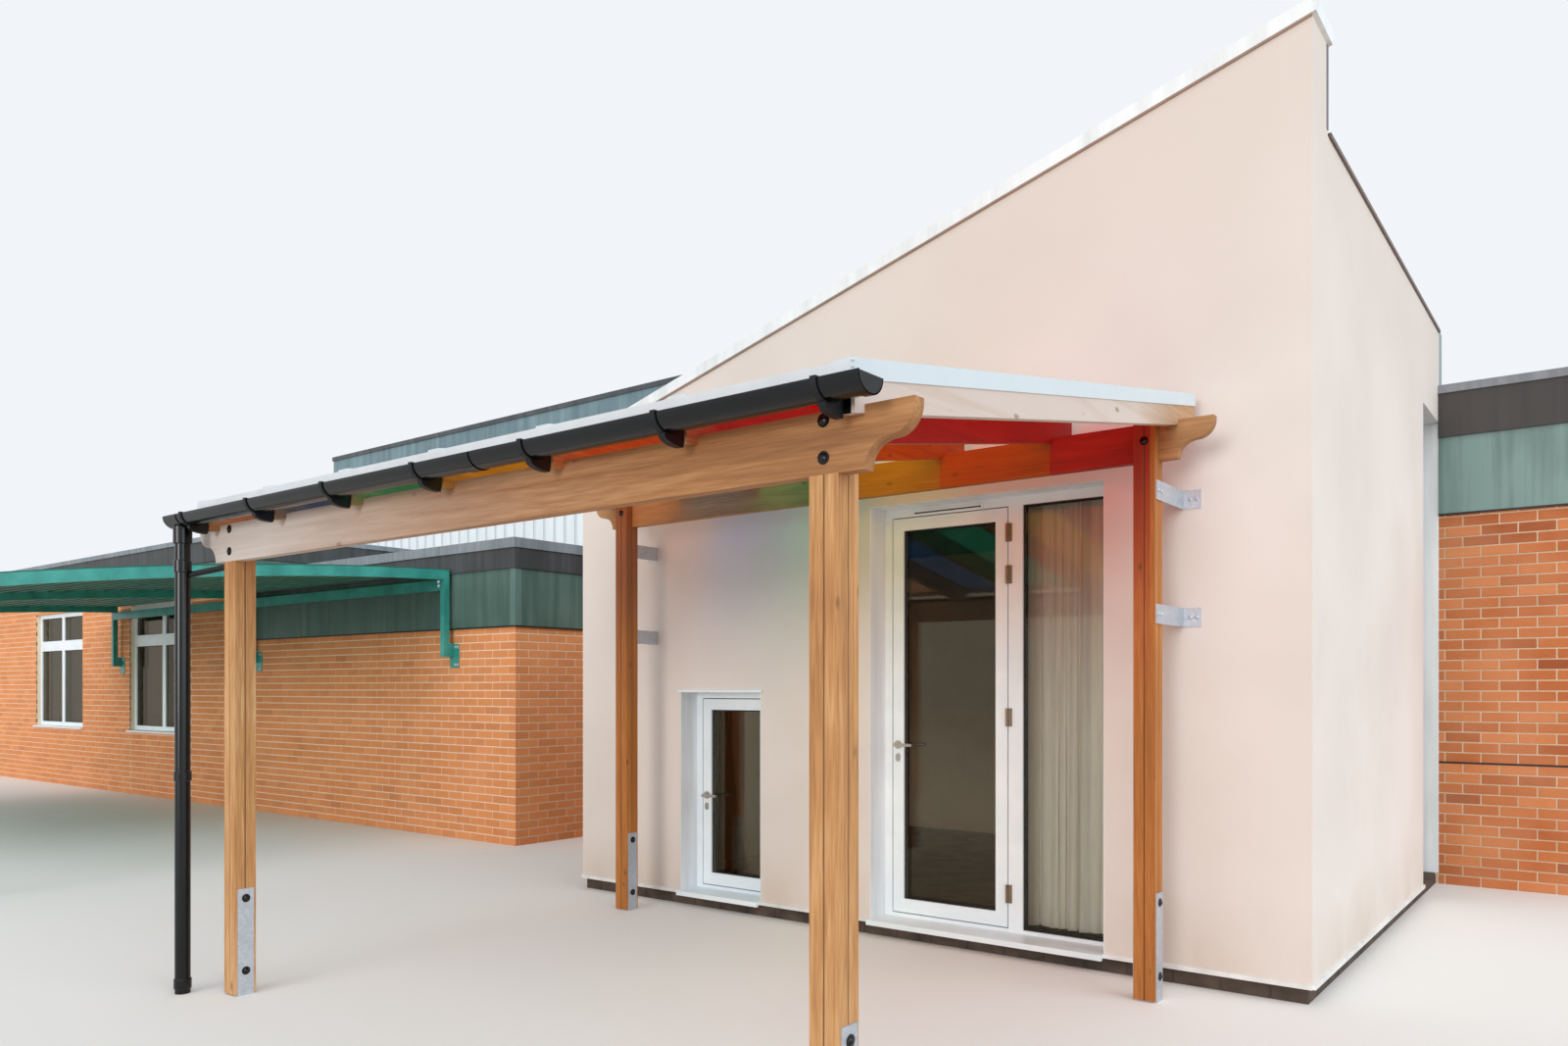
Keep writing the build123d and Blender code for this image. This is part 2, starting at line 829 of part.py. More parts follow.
# Brick wing behind the block
save("wing_front_wall", wall(wing_left, wing_right, back, wing_inner_front, 0, fascia_top))
save("wing_left_wall", wall(wing_left, low_right, wing_inner_front, wing_inner_back, 0, fascia_top))
wing_inner_right = wing_right - wall_thickness
save("wing_right_wall", wall(wing_inner_right, wing_right, wing_inner_front, wing_inner_back, 0, fascia_top))
save("wing_back_wall", wall(wing_left, wing_right, wing_inner_back, wing_back, 0, fascia_top))

# Brick walls of the left-hand wings: each wall that runs back stands between the front walls
low_front_wall = wall(party_right, wing_left, left_front, left_inner_front, 0, brick_top)
windows = [(far_left + offset, far_left + offset + window_width) for offset in window_offsets]
with BuildPart() as far_front_wall:
    with BuildSketch(Plane.XZ.offset(-left_front)):
        with Locations(((far_inner_left + party_left) / 2, far_fascia_top / 2)):
            Rectangle(party_left - far_inner_left, far_fascia_top)
        for x_from, x_to in windows:
            with Locations(((x_from + x_to) / 2, (window_sill + window_head) / 2)):
                Rectangle(x_to - x_from, window_head - window_sill, mode=Mode.SUBTRACT)
    extrude(amount=-wall_thickness)
save("left_front_walls", several([low_front_wall, far_front_wall]))
cross_walls = [
    wall(wing_left, low_right, left_front, back, 0, brick_top),
    wall(party_left, party_right, left_front, wing_back, 0, far_fascia_top),
    wall(far_left, far_inner_left, left_front, wing_back, 0, far_fascia_top),
]
save("left_cross_walls", several(cross_walls))
left_back_walls = [
    wall(party_right, wing_left, wing_inner_back, wing_back, 0, brick_top),
    wall(far_inner_left, party_left, wing_inner_back, wing_back, 0, far_fascia_top),
]
save("left_back_walls", several(left_back_walls))

# Walls of the raised hall, notched over the wall and coping between the two wings below it
low_roof_top = brick_top - wing_roof_below_fascia
far_roof_top = far_fascia_top - wing_roof_below_fascia
notch_right = party_right + wing_coping_lap
hall_outline = [
    (hall_left, far_roof_top),
    (party_left, far_roof_top),
    (party_left, far_coping_top),
    (notch_right, far_coping_top),
    (notch_right, low_roof_top),
    (hall_right, low_roof_top),
    (hall_right, hall_fascia_top),
    (hall_left, hall_fascia_top),
]
with BuildPart() as hall_walls:
    add(upright(hall_outline, hall_front, hall_back).part)
    with BuildSketch(Plane.XY.offset(low_roof_top)):
        with Locations(((hall_left + hall_right) / 2, (hall_front + hall_back) / 2)):
            Rectangle(hall_inner_right - hall_inner_left, hall_inner_back - hall_inner_front)
    extrude(amount=hall_fascia_top - low_roof_top, mode=Mode.SUBTRACT)
save("hall_walls", hall_walls)

# Flat roofs of the wings and the hall, and the wings' floors
rooms = [
    (low_right, wing_inner_right, wing_inner_front, fascia_top),
    (party_right, wing_left, left_inner_front, brick_top),
    (far_inner_left, party_left, left_inner_front, far_fascia_top),
]
roofs = []
floors = []
for x_from, x_to, y_from, wall_top in rooms:
    roof_top = wall_top - wing_roof_below_fascia
    roofs.append(wall(x_from, x_to, y_from, wing_inner_back, roof_top - wing_roof_thickness, roof_top))
    floors.append(wall(x_from, x_to, y_from, wing_inner_back, 0, floor_thickness))
hall_roof_top = hall_fascia_top - wing_roof_below_fascia
hall_roof_bottom = hall_roof_top - wing_roof_thickness
hall_x = (hall_inner_left, hall_inner_right)
roofs.append(wall(*hall_x, hall_inner_front, hall_inner_back, hall_roof_bottom, hall_roof_top))
save("wing_roof", several(roofs))
save("wing_floor", several(floors))


# Boards and copings round the wings and the hall.
# The front and back runs pass the corners, and the side runs stop at them.
def front_run(x_from, x_to, y, reach, low, high, inward=0):
    return wall(x_from, x_to, y - reach, y + inward, low, high)


def back_run(x_from, x_to, y, reach, low, high, inward=0):
    return wall(x_from, x_to, y - inward, y + reach, low, high)


def left_run(x, y_from, y_to, reach, low, high, inward=0):
    return wall(x - reach, x + inward, y_from + corner_gap, y_to - corner_gap, low, high)


def right_run(x, y_from, y_to, reach, low, high, inward=0):
    return wall(x - inward, x + reach, y_from + corner_gap, y_to - corner_gap, low, high)


def wing_boards(reach, low, high):
    return [
        front_run(wing_left - reach, left, back, reach, low, high),
        front_run(right, wing_right + reach, back, reach, low, high),
        left_run(wing_left, back, wing_back, reach, low, high),
        right_run(wing_right, back, wing_back, reach, low, high),
        back_run(wing_left - reach, wing_right + reach, wing_back, reach, low, high),
    ]


return_end = back - wing_coping_lap


def low_boards(reach, low, high):
    # Front, return and back of the low wing
    return [
        front_run(party_right + corner_gap, low_right + reach, left_front, reach, low, high),
        right_run(low_right, left_front, return_end, reach, low, high),
        back_run(party_right + corner_gap, wing_left - corner_gap, wing_back, reach, low, high),
    ]


low_coping_top = brick_top + low_coping_height


def far_boards(reach, low, high):
    # All round the far wing; on its right side they show only above the low wing
    return [
        front_run(far_left - reach, party_right + reach, left_front, reach, low, high),
        left_run(far_left, left_front, wing_back, reach, low, high),
        right_run(party_right, left_front, wing_back, reach, max(low, low_coping_top), high),
        back_run(far_left - reach, party_right + reach, wing_back, reach, low, high),
    ]


bands = (
    wing_boards(band_thickness, brick_top, band_top)
    + low_boards(band_thickness, low_brick_top, low_band_top)
    + far_boards(band_thickness, brick_top, far_band_top)
)
save("wing_green_band", several(bands))
hall_levels = (fascia_thickness, hall_fascia_top - hall_fascia_height, hall_fascia_top)
hall_boards = [
    front_run(hall_left - fascia_thickness, hall_right + fascia_thickness, hall_front, *hall_levels),
    left_run(hall_left, hall_front, hall_back, *hall_levels),
    right_run(hall_right, hall_front, hall_back, *hall_levels),
    back_run(hall_left - fascia_thickness, hall_right + fascia_thickness, hall_back, *hall_levels),
]
fascias = (
    hall_boards
    + wing_boards(fascia_thickness, band_top, fascia_top)
    + low_boards(fascia_thickness, low_band_top, brick_top)
    + far_boards(fascia_thickness, far_band_top, far_fascia_top)
)
save("wing_brown_fascia", several(fascias))

lap = wing_coping_lap
low_coping_left = party_right + fascia_thickness + corner_gap
low_coping_right = wing_left - fascia_thickness - corner_gap
coping_runs = [
    wall(wing_left - lap, left, back - lap, wing_inner_front, fascia_top, coping_top),
    wall(left, upstand_left, back, wing_inner_front, fascia_top, coping_top),
    wall(upstand_left, right, back + upstand_thickness, wing_inner_front, fascia_top, coping_top),
    wall(right, wing_right + lap, back - lap, wing_inner_front, fascia_top, coping_top),
    left_run(wing_left, wing_inner_front, wing_inner_back, lap, fascia_top, coping_top, wall_thickness),
    right_run(wing_right, wing_inner_front, wing_inner_back, lap, fascia_top, coping_top, wall_thickness),
    back_run(wing_left - lap, wing_right + lap, wing_back, lap, fascia_top, coping_top, wall_thickness),
]
low_levels = (lap, brick_top, low_coping_top, wall_thickness)
far_levels = (lap, far_fascia_top, far_coping_top, wall_thickness)
coping_runs += [
    front_run(low_coping_left, low_right + lap, left_front, *low_levels),
    right_run(low_right, left_inner_front, return_end, *low_levels),
    back_run(low_coping_left, low_coping_right, wing_back, *low_levels),
    front_run(far_left - lap, party_right + lap, left_front, *far_levels),
    left_run(far_left, left_inner_front, wing_inner_back, *far_levels),
    right_run(party_right, left_inner_front, wing_inner_back, *far_levels),
    back_run(far_left - lap, party_right + lap, wing_back, *far_levels),
]
hall_coping_levels = (lap, hall_fascia_top, hall_coping_top, hall_wall_thickness)
coping_runs += [
    front_run(hall_left - lap, hall_right + lap, hall_front, *hall_coping_levels),
    left_run(hall_left, hall_inner_front, hall_inner_back, *hall_coping_levels),
    right_run(hall_right, hall_inner_front, hall_inner_back, *hall_coping_levels),
    back_run(hall_left - lap, hall_right + lap, hall_back, *hall_coping_levels),
]
save("wing_coping", several(coping_runs))


# Windows of the far wing: two lights over two, divided by a mullion and a deep transom
def window_lights(x_from, x_to):
    # Low and high corners of the four lights, in X and Z
    middle = (x_from + x_to) / 2
    columns = (
        (x_from + window_frame_width, middle - window_mullion / 2),
        (middle + window_mullion / 2, x_to - window_frame_width),
    )
    rows = (
        (window_sill + window_frame_width, window_transom_height - window_transom / 2),
        (window_transom_height + window_transom / 2, window_head - window_frame_width),
    )
    return [(a, b, low, high) for a, b in columns for low, high in rows]


window_front = left_front + window_setback
with BuildPart() as window_frames:
    with BuildSketch(Plane.XZ.offset(-window_front)):
        for x_from, x_to in windows:
            with Locations(((x_from + x_to) / 2, (window_sill + window_head) / 2)):
                Rectangle(x_to - x_from, window_head - window_sill)
            for a, b, low, high in window_lights(x_from, x_to):
                with Locations(((a + b) / 2, (low + high) / 2)):
                    Rectangle(b - a, high - low, mode=Mode.SUBTRACT)
    extrude(amount=-frame_depth)
save("left_window_frames", window_frames)

glass_from = window_front + (frame_depth - pane_thickness) / 2
glass = [
    wall(a, b, glass_from, glass_from + pane_thickness, low, high)
    for x_from, x_to in windows
    for a, b, low, high in window_lights(x_from, x_to)
]
save("left_window_panes", several(glass))

# Green canopy: bowed rafters between a beam on wall legs and a beam on front posts
green_right = low_right - green_canopy_offset
green_xs = [green_right - green_bay * i for i in range(green_bay_count + 1)]
green_back = left_front - green_leg_standoff
green_front = green_back - green_reach


def bowed(x_from, x_to, drop, thickness):
    # A piece that follows the canopy's bow, its top the given drop below the sheets' top
    with BuildPart() as piece:
        with BuildSketch(Plane.YZ.offset(x_from)):
            with BuildLine():
                top = ThreePointArc(
                    (green_back, green_wall_height - drop),
                    ((green_back + green_front) / 2, green_middle_height - drop),
                    (green_front, green_front_height - drop),
                )
                under = ThreePointArc(
                    (green_back, green_wall_height - drop - thickness),
                    ((green_back + green_front) / 2, green_middle_height - drop - thickness),
                    (green_front, green_front_height - drop - thickness),
                )
                Line(top @ 0, under @ 0)
                Line(top @ 1, under @ 1)
            make_face()
        extrude(amount=x_to - x_from)
    return piece


half_rafter = green_rafter_width / 2
green_rafters = [
    bowed(x - half_rafter, x + half_rafter, green_sheet_thickness, green_rafter_height) for x in green_xs
]
save("green_canopy_rafters", several(green_rafters))
sheet_edges = [x + green_sheet_lap for x in green_xs]
green_sheets = [
    bowed(x_left + corner_gap, x_right, 0, green_sheet_thickness)
    for x_right, x_left in zip(sheet_edges, sheet_edges[1:])
]
save("green_canopy_sheets", several(green_sheets))


def green_top(share):
    # Height of the sheets' top, from 0 at the wall to 1 at the front
    fall = -3 * green_wall_height + 4 * green_middle_height - green_front_height
    bow = 2 * green_wall_height - 4 * green_middle_height + 2 * green_front_height
    return green_wall_height + fall * share + bow * share**2


rafter_drop = green_sheet_thickness + green_rafter_height
wall_beam_top_z = green_top(green_beam_width / green_reach) - rafter_drop - green_seat_clearance
front_beam_top_z = green_front_height - rafter_drop
beam_left = green_xs[-1] - half_rafter
beam_right = green_xs[0] + half_rafter


def green_beam(y_from, top):
    return wall(beam_left, beam_right, y_from, y_from + green_beam_width, top - green_beam_height, top)


green_beams = [
    green_beam(green_back - green_beam_width, wall_beam_top_z),
    green_beam(green_front, front_beam_top_z),
]
save("green_canopy_beams", several(green_beams))


def green_leg(x):
    # Square leg under the wall beam, held off the wall by a stub on a plate beside it
    low_x = x - green_leg_size / 2
    high_x = low_x + green_leg_size
    leg_front = green_back - green_leg_size
    plate_low = green_plate_middle - green_plate_height / 2
    plate_high = green_plate_middle + green_plate_height / 2
    plate_face = left_front - green_plate_thickness
    beam_low = wall_beam_top_z - green_beam_height
    with BuildPart() as leg:
        add(wall(low_x, high_x, leg_front, green_back, green_leg_bottom, beam_low).part)
        add(wall(low_x, high_x, green_back, plate_face, green_leg_bottom, plate_high).part)
        add(wall(low_x, low_x + green_plate_width, plate_face, left_front, plate_low, plate_high).part)
    return leg


save("green_canopy_legs", several([green_leg(x) for x in green_xs]))

half_post = green_post_size / 2
green_post_y = green_front + green_beam_width / 2
green_post_top = front_beam_top_z - green_beam_height
green_posts = [
    wall(x - half_post, x + half_post, green_post_y - half_post, green_post_y + half_post, 0, green_post_top)
    for x in green_xs
]
save("green_canopy_posts", several(green_posts))
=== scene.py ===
from math import atan, ceil, cos, floor, pi, radians, sin, tan

import bmesh
import bpy
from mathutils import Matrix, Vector


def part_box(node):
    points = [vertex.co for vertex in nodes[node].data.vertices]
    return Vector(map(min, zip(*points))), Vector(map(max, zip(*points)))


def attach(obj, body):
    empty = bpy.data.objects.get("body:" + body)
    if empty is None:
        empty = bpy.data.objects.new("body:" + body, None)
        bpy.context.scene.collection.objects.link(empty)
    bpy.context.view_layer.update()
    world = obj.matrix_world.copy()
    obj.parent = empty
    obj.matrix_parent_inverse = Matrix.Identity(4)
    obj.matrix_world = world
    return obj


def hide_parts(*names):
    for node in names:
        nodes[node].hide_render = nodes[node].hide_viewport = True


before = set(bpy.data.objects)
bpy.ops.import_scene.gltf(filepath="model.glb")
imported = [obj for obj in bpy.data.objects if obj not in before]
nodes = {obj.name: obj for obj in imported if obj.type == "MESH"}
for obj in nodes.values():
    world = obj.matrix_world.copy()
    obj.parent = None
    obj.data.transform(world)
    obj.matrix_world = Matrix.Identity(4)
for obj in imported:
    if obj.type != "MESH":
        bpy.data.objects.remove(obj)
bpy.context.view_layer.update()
print("frame loaded,", len(nodes), "pieces")


def addObject(name, data):
    thing = bpy.data.objects.new(name, data)
    bpy.context.scene.collection.objects.link(thing)
    return thing


# Camera: stands under the open sky in front of the canopy's right-hand corner, held level
cameraView = {
    "place": (3.5965, -7.4045, 1.44),
    "turn": 37.76,  # degrees left of straight on
    "lens": 25.335,
    "sensor": 36.0,
    "rise": 0.1053,  # lens shift that lifts the view without tipping the camera
    "farthest": 200,
}


def placeCamera():
    data = bpy.data.cameras.new("photoCamera")
    data.lens = cameraView["lens"]
    data.sensor_width = cameraView["sensor"]
    data.shift_y = cameraView["rise"]
    data.clip_end = cameraView["farthest"]
    camera = addObject("photoCamera", data)
    camera.location = cameraView["place"]
    camera.rotation_euler = (radians(90), 0, radians(cameraView["turn"]))
    bpy.context.scene.camera = camera


placeCamera()
print("camera placed")


# Shader helpers
def shade(colour):
    # A colour of three numbers, 0 to 255 as a screen shows it, turned into the linear values that nodes take
    if not isinstance(colour, tuple) or len(colour) != 3:
        return colour
    return tuple(((c / 255 + 0.055) / 1.055) ** 2.4 if c > 10 else c / 3294.6 for c in colour) + (1,)


def addNode(tree, kind, sockets=None, **settings):
    node = tree.nodes.new(kind)
    for key, value in settings.items():
        setattr(node, key, value)
    for key, value in (sockets or {}).items():
        if isinstance(value, bpy.types.NodeSocket):
            tree.links.new(value, node.inputs[key])
        else:
            node.inputs[key].default_value = value
    return node


def newMaterial(name, roughness, metallic=0.0):
    material = bpy.data.materials.new(name)
    material.use_nodes = True
    surface = material.node_tree.nodes["Principled BSDF"]
    surface.inputs["Roughness"].default_value = roughness
    surface.inputs["Metallic"].default_value = metallic
    return material, material.node_tree, surface


def objectSpot(tree, stretch=(1, 1, 1), turn=(0, 0, 0)):
    place = addNode(tree, "ShaderNodeTexCoord").outputs["Object"]
    return addNode(tree, "ShaderNodeMapping", {"Vector": place, "Scale": stretch, "Rotation": turn}).outputs["Vector"]


def placeOf(tree):
    # The object coordinates as outputs X, Y and Z
    place = addNode(tree, "ShaderNodeTexCoord").outputs["Object"]
    return addNode(tree, "ShaderNodeSeparateXYZ", {0: place}).outputs


def cloud(tree, scale, detail, stretch=(1, 1, 1), turn=(0, 0, 0), warp=0.0):
    sockets = {"Vector": objectSpot(tree, stretch, turn), "Scale": scale, "Detail": detail, "Distortion": warp}
    return addNode(tree, "ShaderNodeTexNoise", sockets).outputs["Fac"]


def sums(tree, operation, first, second=0.0, clamp=False):
    return addNode(tree, "ShaderNodeMath", {0: first, 1: second}, operation=operation, use_clamp=clamp).outputs[0]


def times(tree, first, second, clamp=False):
    return sums(tree, "MULTIPLY", first, second, clamp)


def weigh(tree, first, share, second):
    # That share of the first and the rest of the second
    return sums(tree, "ADD", times(tree, first, share), times(tree, second, 1 - share))


def fade(tree, value, low, high, start=0.0, end=1.0):
    sockets = {"Value": value, "From Min": low, "From Max": high, "To Min": start, "To Max": end}
    return addNode(tree, "ShaderNodeMapRange", sockets).outputs["Result"]


def patches(tree, noise, low, high, start=0.0, end=1.0):
    return fade(tree, cloud(tree, *noise), low, high, start, end)


def ramp(tree, value, stops, steps=False):
    node = addNode(tree, "ShaderNodeValToRGB", {"Fac": value})
    band = node.color_ramp
    band.interpolation = "CONSTANT" if steps else "LINEAR"
    while len(band.elements) < len(stops):
        band.elements.new(1.0)
    for element, (spot, colour) in zip(band.elements, stops):
        element.position = spot
        element.color = shade(colour)
    return node.outputs["Color"]


def blend(tree, factor, low, high, mode="MIX"):
    sockets = {0: factor, 6: shade(low), 7: shade(high)}
    return addNode(tree, "ShaderNodeMix", sockets, data_type="RGBA", blend_type=mode).outputs[2]


def bump(tree, surface, height, distance, strength):
    node = addNode(tree, "ShaderNodeBump", {"Height": height, "Distance": distance, "Strength": strength})
    tree.links.new(node.outputs["Normal"], surface.inputs["Normal"])


def paint(tree, surface, factor, low, high):
    tree.links.new(blend(tree, factor, low, high), surface.inputs["Base Color"])


def mixShaders(tree, share, first, second):  # share is the second's
    return addNode(tree, "ShaderNodeMixShader", {0: share, 1: first, 2: second}).outputs[0]


def surfaceBy(tree, shader):
    tree.links.new(shader, tree.nodes["Material Output"].inputs["Surface"])


def mottledMaterial(name, look):
    # Two tones in soft patches over a fine relief
    material, tree, surface = newMaterial(name, look["roughness"])
    surface.inputs["Specular IOR Level"].default_value = look.get("shine", 0.5)
    paint(tree, surface, patches(tree, look["patches"], *look["reach"]), look["dark"], look["light"])
    bump(tree, surface, cloud(tree, *look["grain"]), *look["relief"])
    return material


def named(start, end=""):
    return [name for name in nodes if name.startswith(start) and name.endswith(end)]


def dress(names, material):
    for name in names:
        for slot in nodes[name].material_slots:
            slot.material = material


# Pale floor and overcast light
stage = {
    "floorSize": 120.0,
    "floorRoughness": 0.9,
    "floorColour": (0.87, 0.85, 0.82, 1),
    "bounceColour": (0.66, 0.58, 0.50, 1),  # what the floor throws back on the walls
    "skyColour": (0.93, 0.96, 1.0, 1),
    "skyStrength": 0.95,  # as it is seen
    "skyLight": 0.62,  # as it lights the object
    "lamps": {
        "softSun": {"strength": 0.55, "spread": 40, "turn": (40, 0, 15), "colour": (1, 1, 1)},
        "frontFill": {"strength": 1.3, "spread": 22, "turn": (86, 0, 6), "colour": (1, 0.965, 0.93)},
        "sideFill": {"strength": 1.75, "spread": 60, "turn": (66, 0, 84), "colour": (0.82, 0.94, 1.0)},
    },
}


def seenRays(tree):
    # 1 for what the camera sees directly, in metal or through glass, 0 for light on the object
    path = addNode(tree, "ShaderNodeLightPath").outputs
    mirrored = sums(tree, "MAXIMUM", path["Is Camera Ray"], path["Is Glossy Ray"])
    return sums(tree, "MAXIMUM", mirrored, path["Is Transmission Ray"])


def layFloor():
    half = stage["floorSize"] / 2
    mesh = bpy.data.meshes.new("floor")
    mesh.from_pydata([(-half, -half, 0), (half, -half, 0), (half, half, 0), (-half, half, 0)], [], [(0, 1, 2, 3)])
    floor = addObject("floor", mesh)
    material, tree, surface = newMaterial("floorPale", stage["floorRoughness"])
    paint(tree, surface, seenRays(tree), stage["bounceColour"], stage["floorColour"])
    mesh.materials.append(material)


def lightScene():
    world = bpy.data.worlds.new("overcast")
    world.use_nodes = True
    tree = world.node_tree
    background = tree.nodes["Background"]
    background.inputs["Color"].default_value = stage["skyColour"]
    strength = fade(tree, seenRays(tree), 0.0, 1.0, stage["skyLight"], stage["skyStrength"])
    tree.links.new(strength, background.inputs["Strength"])
    bpy.context.scene.world = world
    for name, lamp in stage["lamps"].items():
        sun = bpy.data.lights.new(name, "SUN")
        sun.energy = lamp["strength"]
        sun.color = lamp["colour"]
        sun.angle = radians(lamp["spread"])
        addObject(name, sun).rotation_euler = [radians(turn) for turn in lamp["turn"]]
    bpy.context.scene.view_settings.view_transform = "Standard"


layFloor()
lightScene()
print("floor and light set")

# Rendered walls: smooth pale peach coat, a little dirtier by the ground, with painted shade on the upper wall
renderCoat = {
    "light": (231, 222, 216),
    "deep": (222, 212, 205),
    "dust": (208, 192, 178),
    "dustHeights": (0.45, 0.06),  # none above the first, most below the second
    "upperShade": (214, 200, 190),  # painted shade: the upper wall a little darker
    "upperShadeHeights": (2.6, 3.8),
    "upperShadeShare": 0.45,
    "grain": 160.0,
    "grainDepth": 0.0006,
}


def renderMaterial():
    material, tree, surface = newMaterial("peachRender", 0.88)
    tone = patches(tree, (0.9, 4), 0.35, 0.65)
    colour = blend(tree, tone, renderCoat["deep"], renderCoat["light"])
    rise = placeOf(tree)["Z"]
    # painted shade: the wall darkens towards the top
    upperShaded = fade(tree, rise, *renderCoat["upperShadeHeights"], 0.0, renderCoat["upperShadeShare"])
    colour = blend(tree, upperShaded, colour, renderCoat["upperShade"])
    uneven = patches(tree, (3.2, 5, (1, 1, 0.4)), 0.3, 0.75)
    dusty = times(tree, fade(tree, rise, *renderCoat["dustHeights"]), uneven, True)
    paint(tree, surface, dusty, colour, renderCoat["dust"])
    bump(tree, surface, cloud(tree, renderCoat["grain"], 2), renderCoat["grainDepth"], 0.6)
    return material


dress(named("front_wall") + named("side_wall_"), renderMaterial())


# Coated metal: coping, linings, bead, flashings
def coatedMetal(name, colour, roughness=0.42, streaks=0.06):
    material, tree, surface = newMaterial(name, roughness)
    base = shade(colour)[:3]
    darker = tuple(c * (1 - 3 * streaks) for c in base) + (1,)
    lighter = tuple(min(1, c * (1 + streaks)) for c in base) + (1,)
    mixed = weigh(tree, cloud(tree, 2.0, 4, (6, 6, 0.5)), 0.6, cloud(tree, 1.3, 3))
    paint(tree, surface, fade(tree, mixed, 0.35, 0.65), darker, lighter)
    bump(tree, surface, cloud(tree, 45, 2), 0.0006, 0.3)
    return material


metalFinishes = {
    "front_coping": ("paleMetal", (240, 244, 246)),
    "rear_upstand": ("blueGreyMetal", (138, 152, 163)),
    "reveal_linings": ("liningMetal", (236, 241, 245), 0.38),
    "render_bead": ("beadMetal", (234, 234, 233)),
    "side_wall_trim": ("trimMetal", (96, 74, 62)),
}
for name, finish in metalFinishes.items():
    dress([name], coatedMetal(*finish))
dress(["canopy_side_flashings", "canopy_glazing_bars"], coatedMetal("flashingWhite", (209, 219, 225), 0.35, 0.008))
print("render and coated metals done")

# Panels of the wings: weathered boards with streaks that run down. Each has (stain, clean) for three places:
# the left wings, the right-hand wing and the hall
panels = {
    "green": (((62, 90, 82), (88, 114, 106)), ((78, 104, 100), (110, 138, 134)), ((62, 94, 86), (88, 120, 112))),
    "fascia": (((44, 46, 47), (68, 70, 72)), ((33, 28, 26), (48, 41, 39)), ((98, 122, 130), (124, 148, 156))),
    "coping": (((112, 120, 126), (140, 148, 154)), ((104, 108, 114), (126, 130, 136)), ((58, 62, 66), (80, 84, 88))),
    "between": -3.0,  # X that parts the left wings from the right one
    "hallBoards": 4.0,  # Z above which the boards are the hall's
}


def streakedPanel(name, shades, roughness):
    material, tree, surface = newMaterial(name, roughness)
    fine = cloud(tree, 1.0, 5, (14, 14, 0.7))
    wear = fade(tree, times(tree, fine, cloud(tree, 1.5, 3, (0.8, 0.8, 0.8))), 0.16, 0.36)
    left, right, hall = [blend(tree, wear, stain, clean) for stain, clean in shades]
    place = placeOf(tree)
    pastBlock = sums(tree, "GREATER_THAN", place["X"], panels["between"])
    aboveWings = sums(tree, "GREATER_THAN", place["Z"], panels["hallBoards"])
    paint(tree, surface, aboveWings, blend(tree, pastBlock, left, right), hall)
    bump(tree, surface, fine, 0.001, 0.3)
    return material


dress(["wing_green_band"], streakedPanel("greenPanel", panels["green"], 0.5))
dress(["wing_brown_fascia"], streakedPanel("fasciaPanel", panels["fascia"], 0.55))
dress(["wing_coping"], streakedPanel("copingMetal", panels["coping"], 0.45))

# Roof felt and floors
felt = {"dark": (92, 96, 100), "pale": (124, 129, 133), "grit": 260.0}


def feltMaterial():
    material, tree, surface = newMaterial("roofFelt", 0.9)
    grit = cloud(tree, felt["grit"], 2)
    mixed = weigh(tree, grit, 0.5, cloud(tree, 0.7, 4))
    paint(tree, surface, fade(tree, mixed, 0.38, 0.62), felt["dark"], felt["pale"])
    bump(tree, surface, grit, 0.0015, 0.5)
    return material


feltSurface = feltMaterial()
dress(["block_roof", "wing_roof"], feltSurface)
concrete = {
    "dark": (122, 118, 112),
    "light": (150, 146, 140),
    "roughness": 0.8,
    "patches": (3.0, 6),
    "reach": (0.3, 0.7),
    "grain": (80, 3),
    "relief": (0.001, 0.3),
}
dress(["wing_floor"], mottledMaterial("floorConcrete", concrete))
print("panels, roofs and floors done")

# White door and window frames
whiteCoat = {
    "dark": (231, 242, 248),
    "light": (241, 250, 254),
    "roughness": 0.3,
    "patches": (4.0, 4),
    "reach": (0.35, 0.65),
    "grain": (220, 2),
    "relief": (0.0002, 0.4),
}
whiteSurface = mottledMaterial("whiteCoat", whiteCoat)
dress(["main_door_frame", "small_door_frame", "main_door_leaf", "small_door_leaf"], whiteSurface)
dress(["slot_window_frame", "door_sills", "left_window_frames"], whiteSurface)

# Hall cladding: near-white sheets with an upright profile
cladding = {"pitch": 0.2, "light": (240, 248, 252), "seam": (206, 217, 224)}


def claddingMaterial():
    material, tree, surface = newMaterial("paleCladding", 0.5)
    place = placeOf(tree)
    along = sums(tree, "ADD", place["X"], place["Y"])
    phase = sums(tree, "FRACT", sums(tree, "DIVIDE", along, cladding["pitch"]))
    ridge = fade(tree, sums(tree, "ABSOLUTE", sums(tree, "SUBTRACT", phase, 0.5)), 0.30, 0.42)
    tone = patches(tree, (2.0, 4, (3, 3, 0.4)), 0.3, 0.7, 0.0, 0.35)
    base = blend(tree, tone, cladding["light"], cladding["seam"])
    paint(tree, surface, times(tree, ridge, 0.6), base, cladding["seam"])
    bump(tree, surface, ridge, 0.02, 0.8)
    return material


dress(["hall_walls"], claddingMaterial())


# Ironmongery and galvanised steel
def steelMaterial(name, dark, light, roughness, spangle, metallic):
    material, tree, surface = newMaterial(name, roughness, metallic)
    flakes = addNode(tree, "ShaderNodeTexVoronoi", {"Vector": objectSpot(tree), "Scale": spangle}).outputs["Color"]
    soft = weigh(tree, flakes, 0.5, cloud(tree, 9, 3))
    paint(tree, surface, fade(tree, soft, 0.2, 0.8), dark, light)
    bump(tree, surface, cloud(tree, 1.0, 2, (30, 400, 30)), 0.0002, 0.3)
    return material


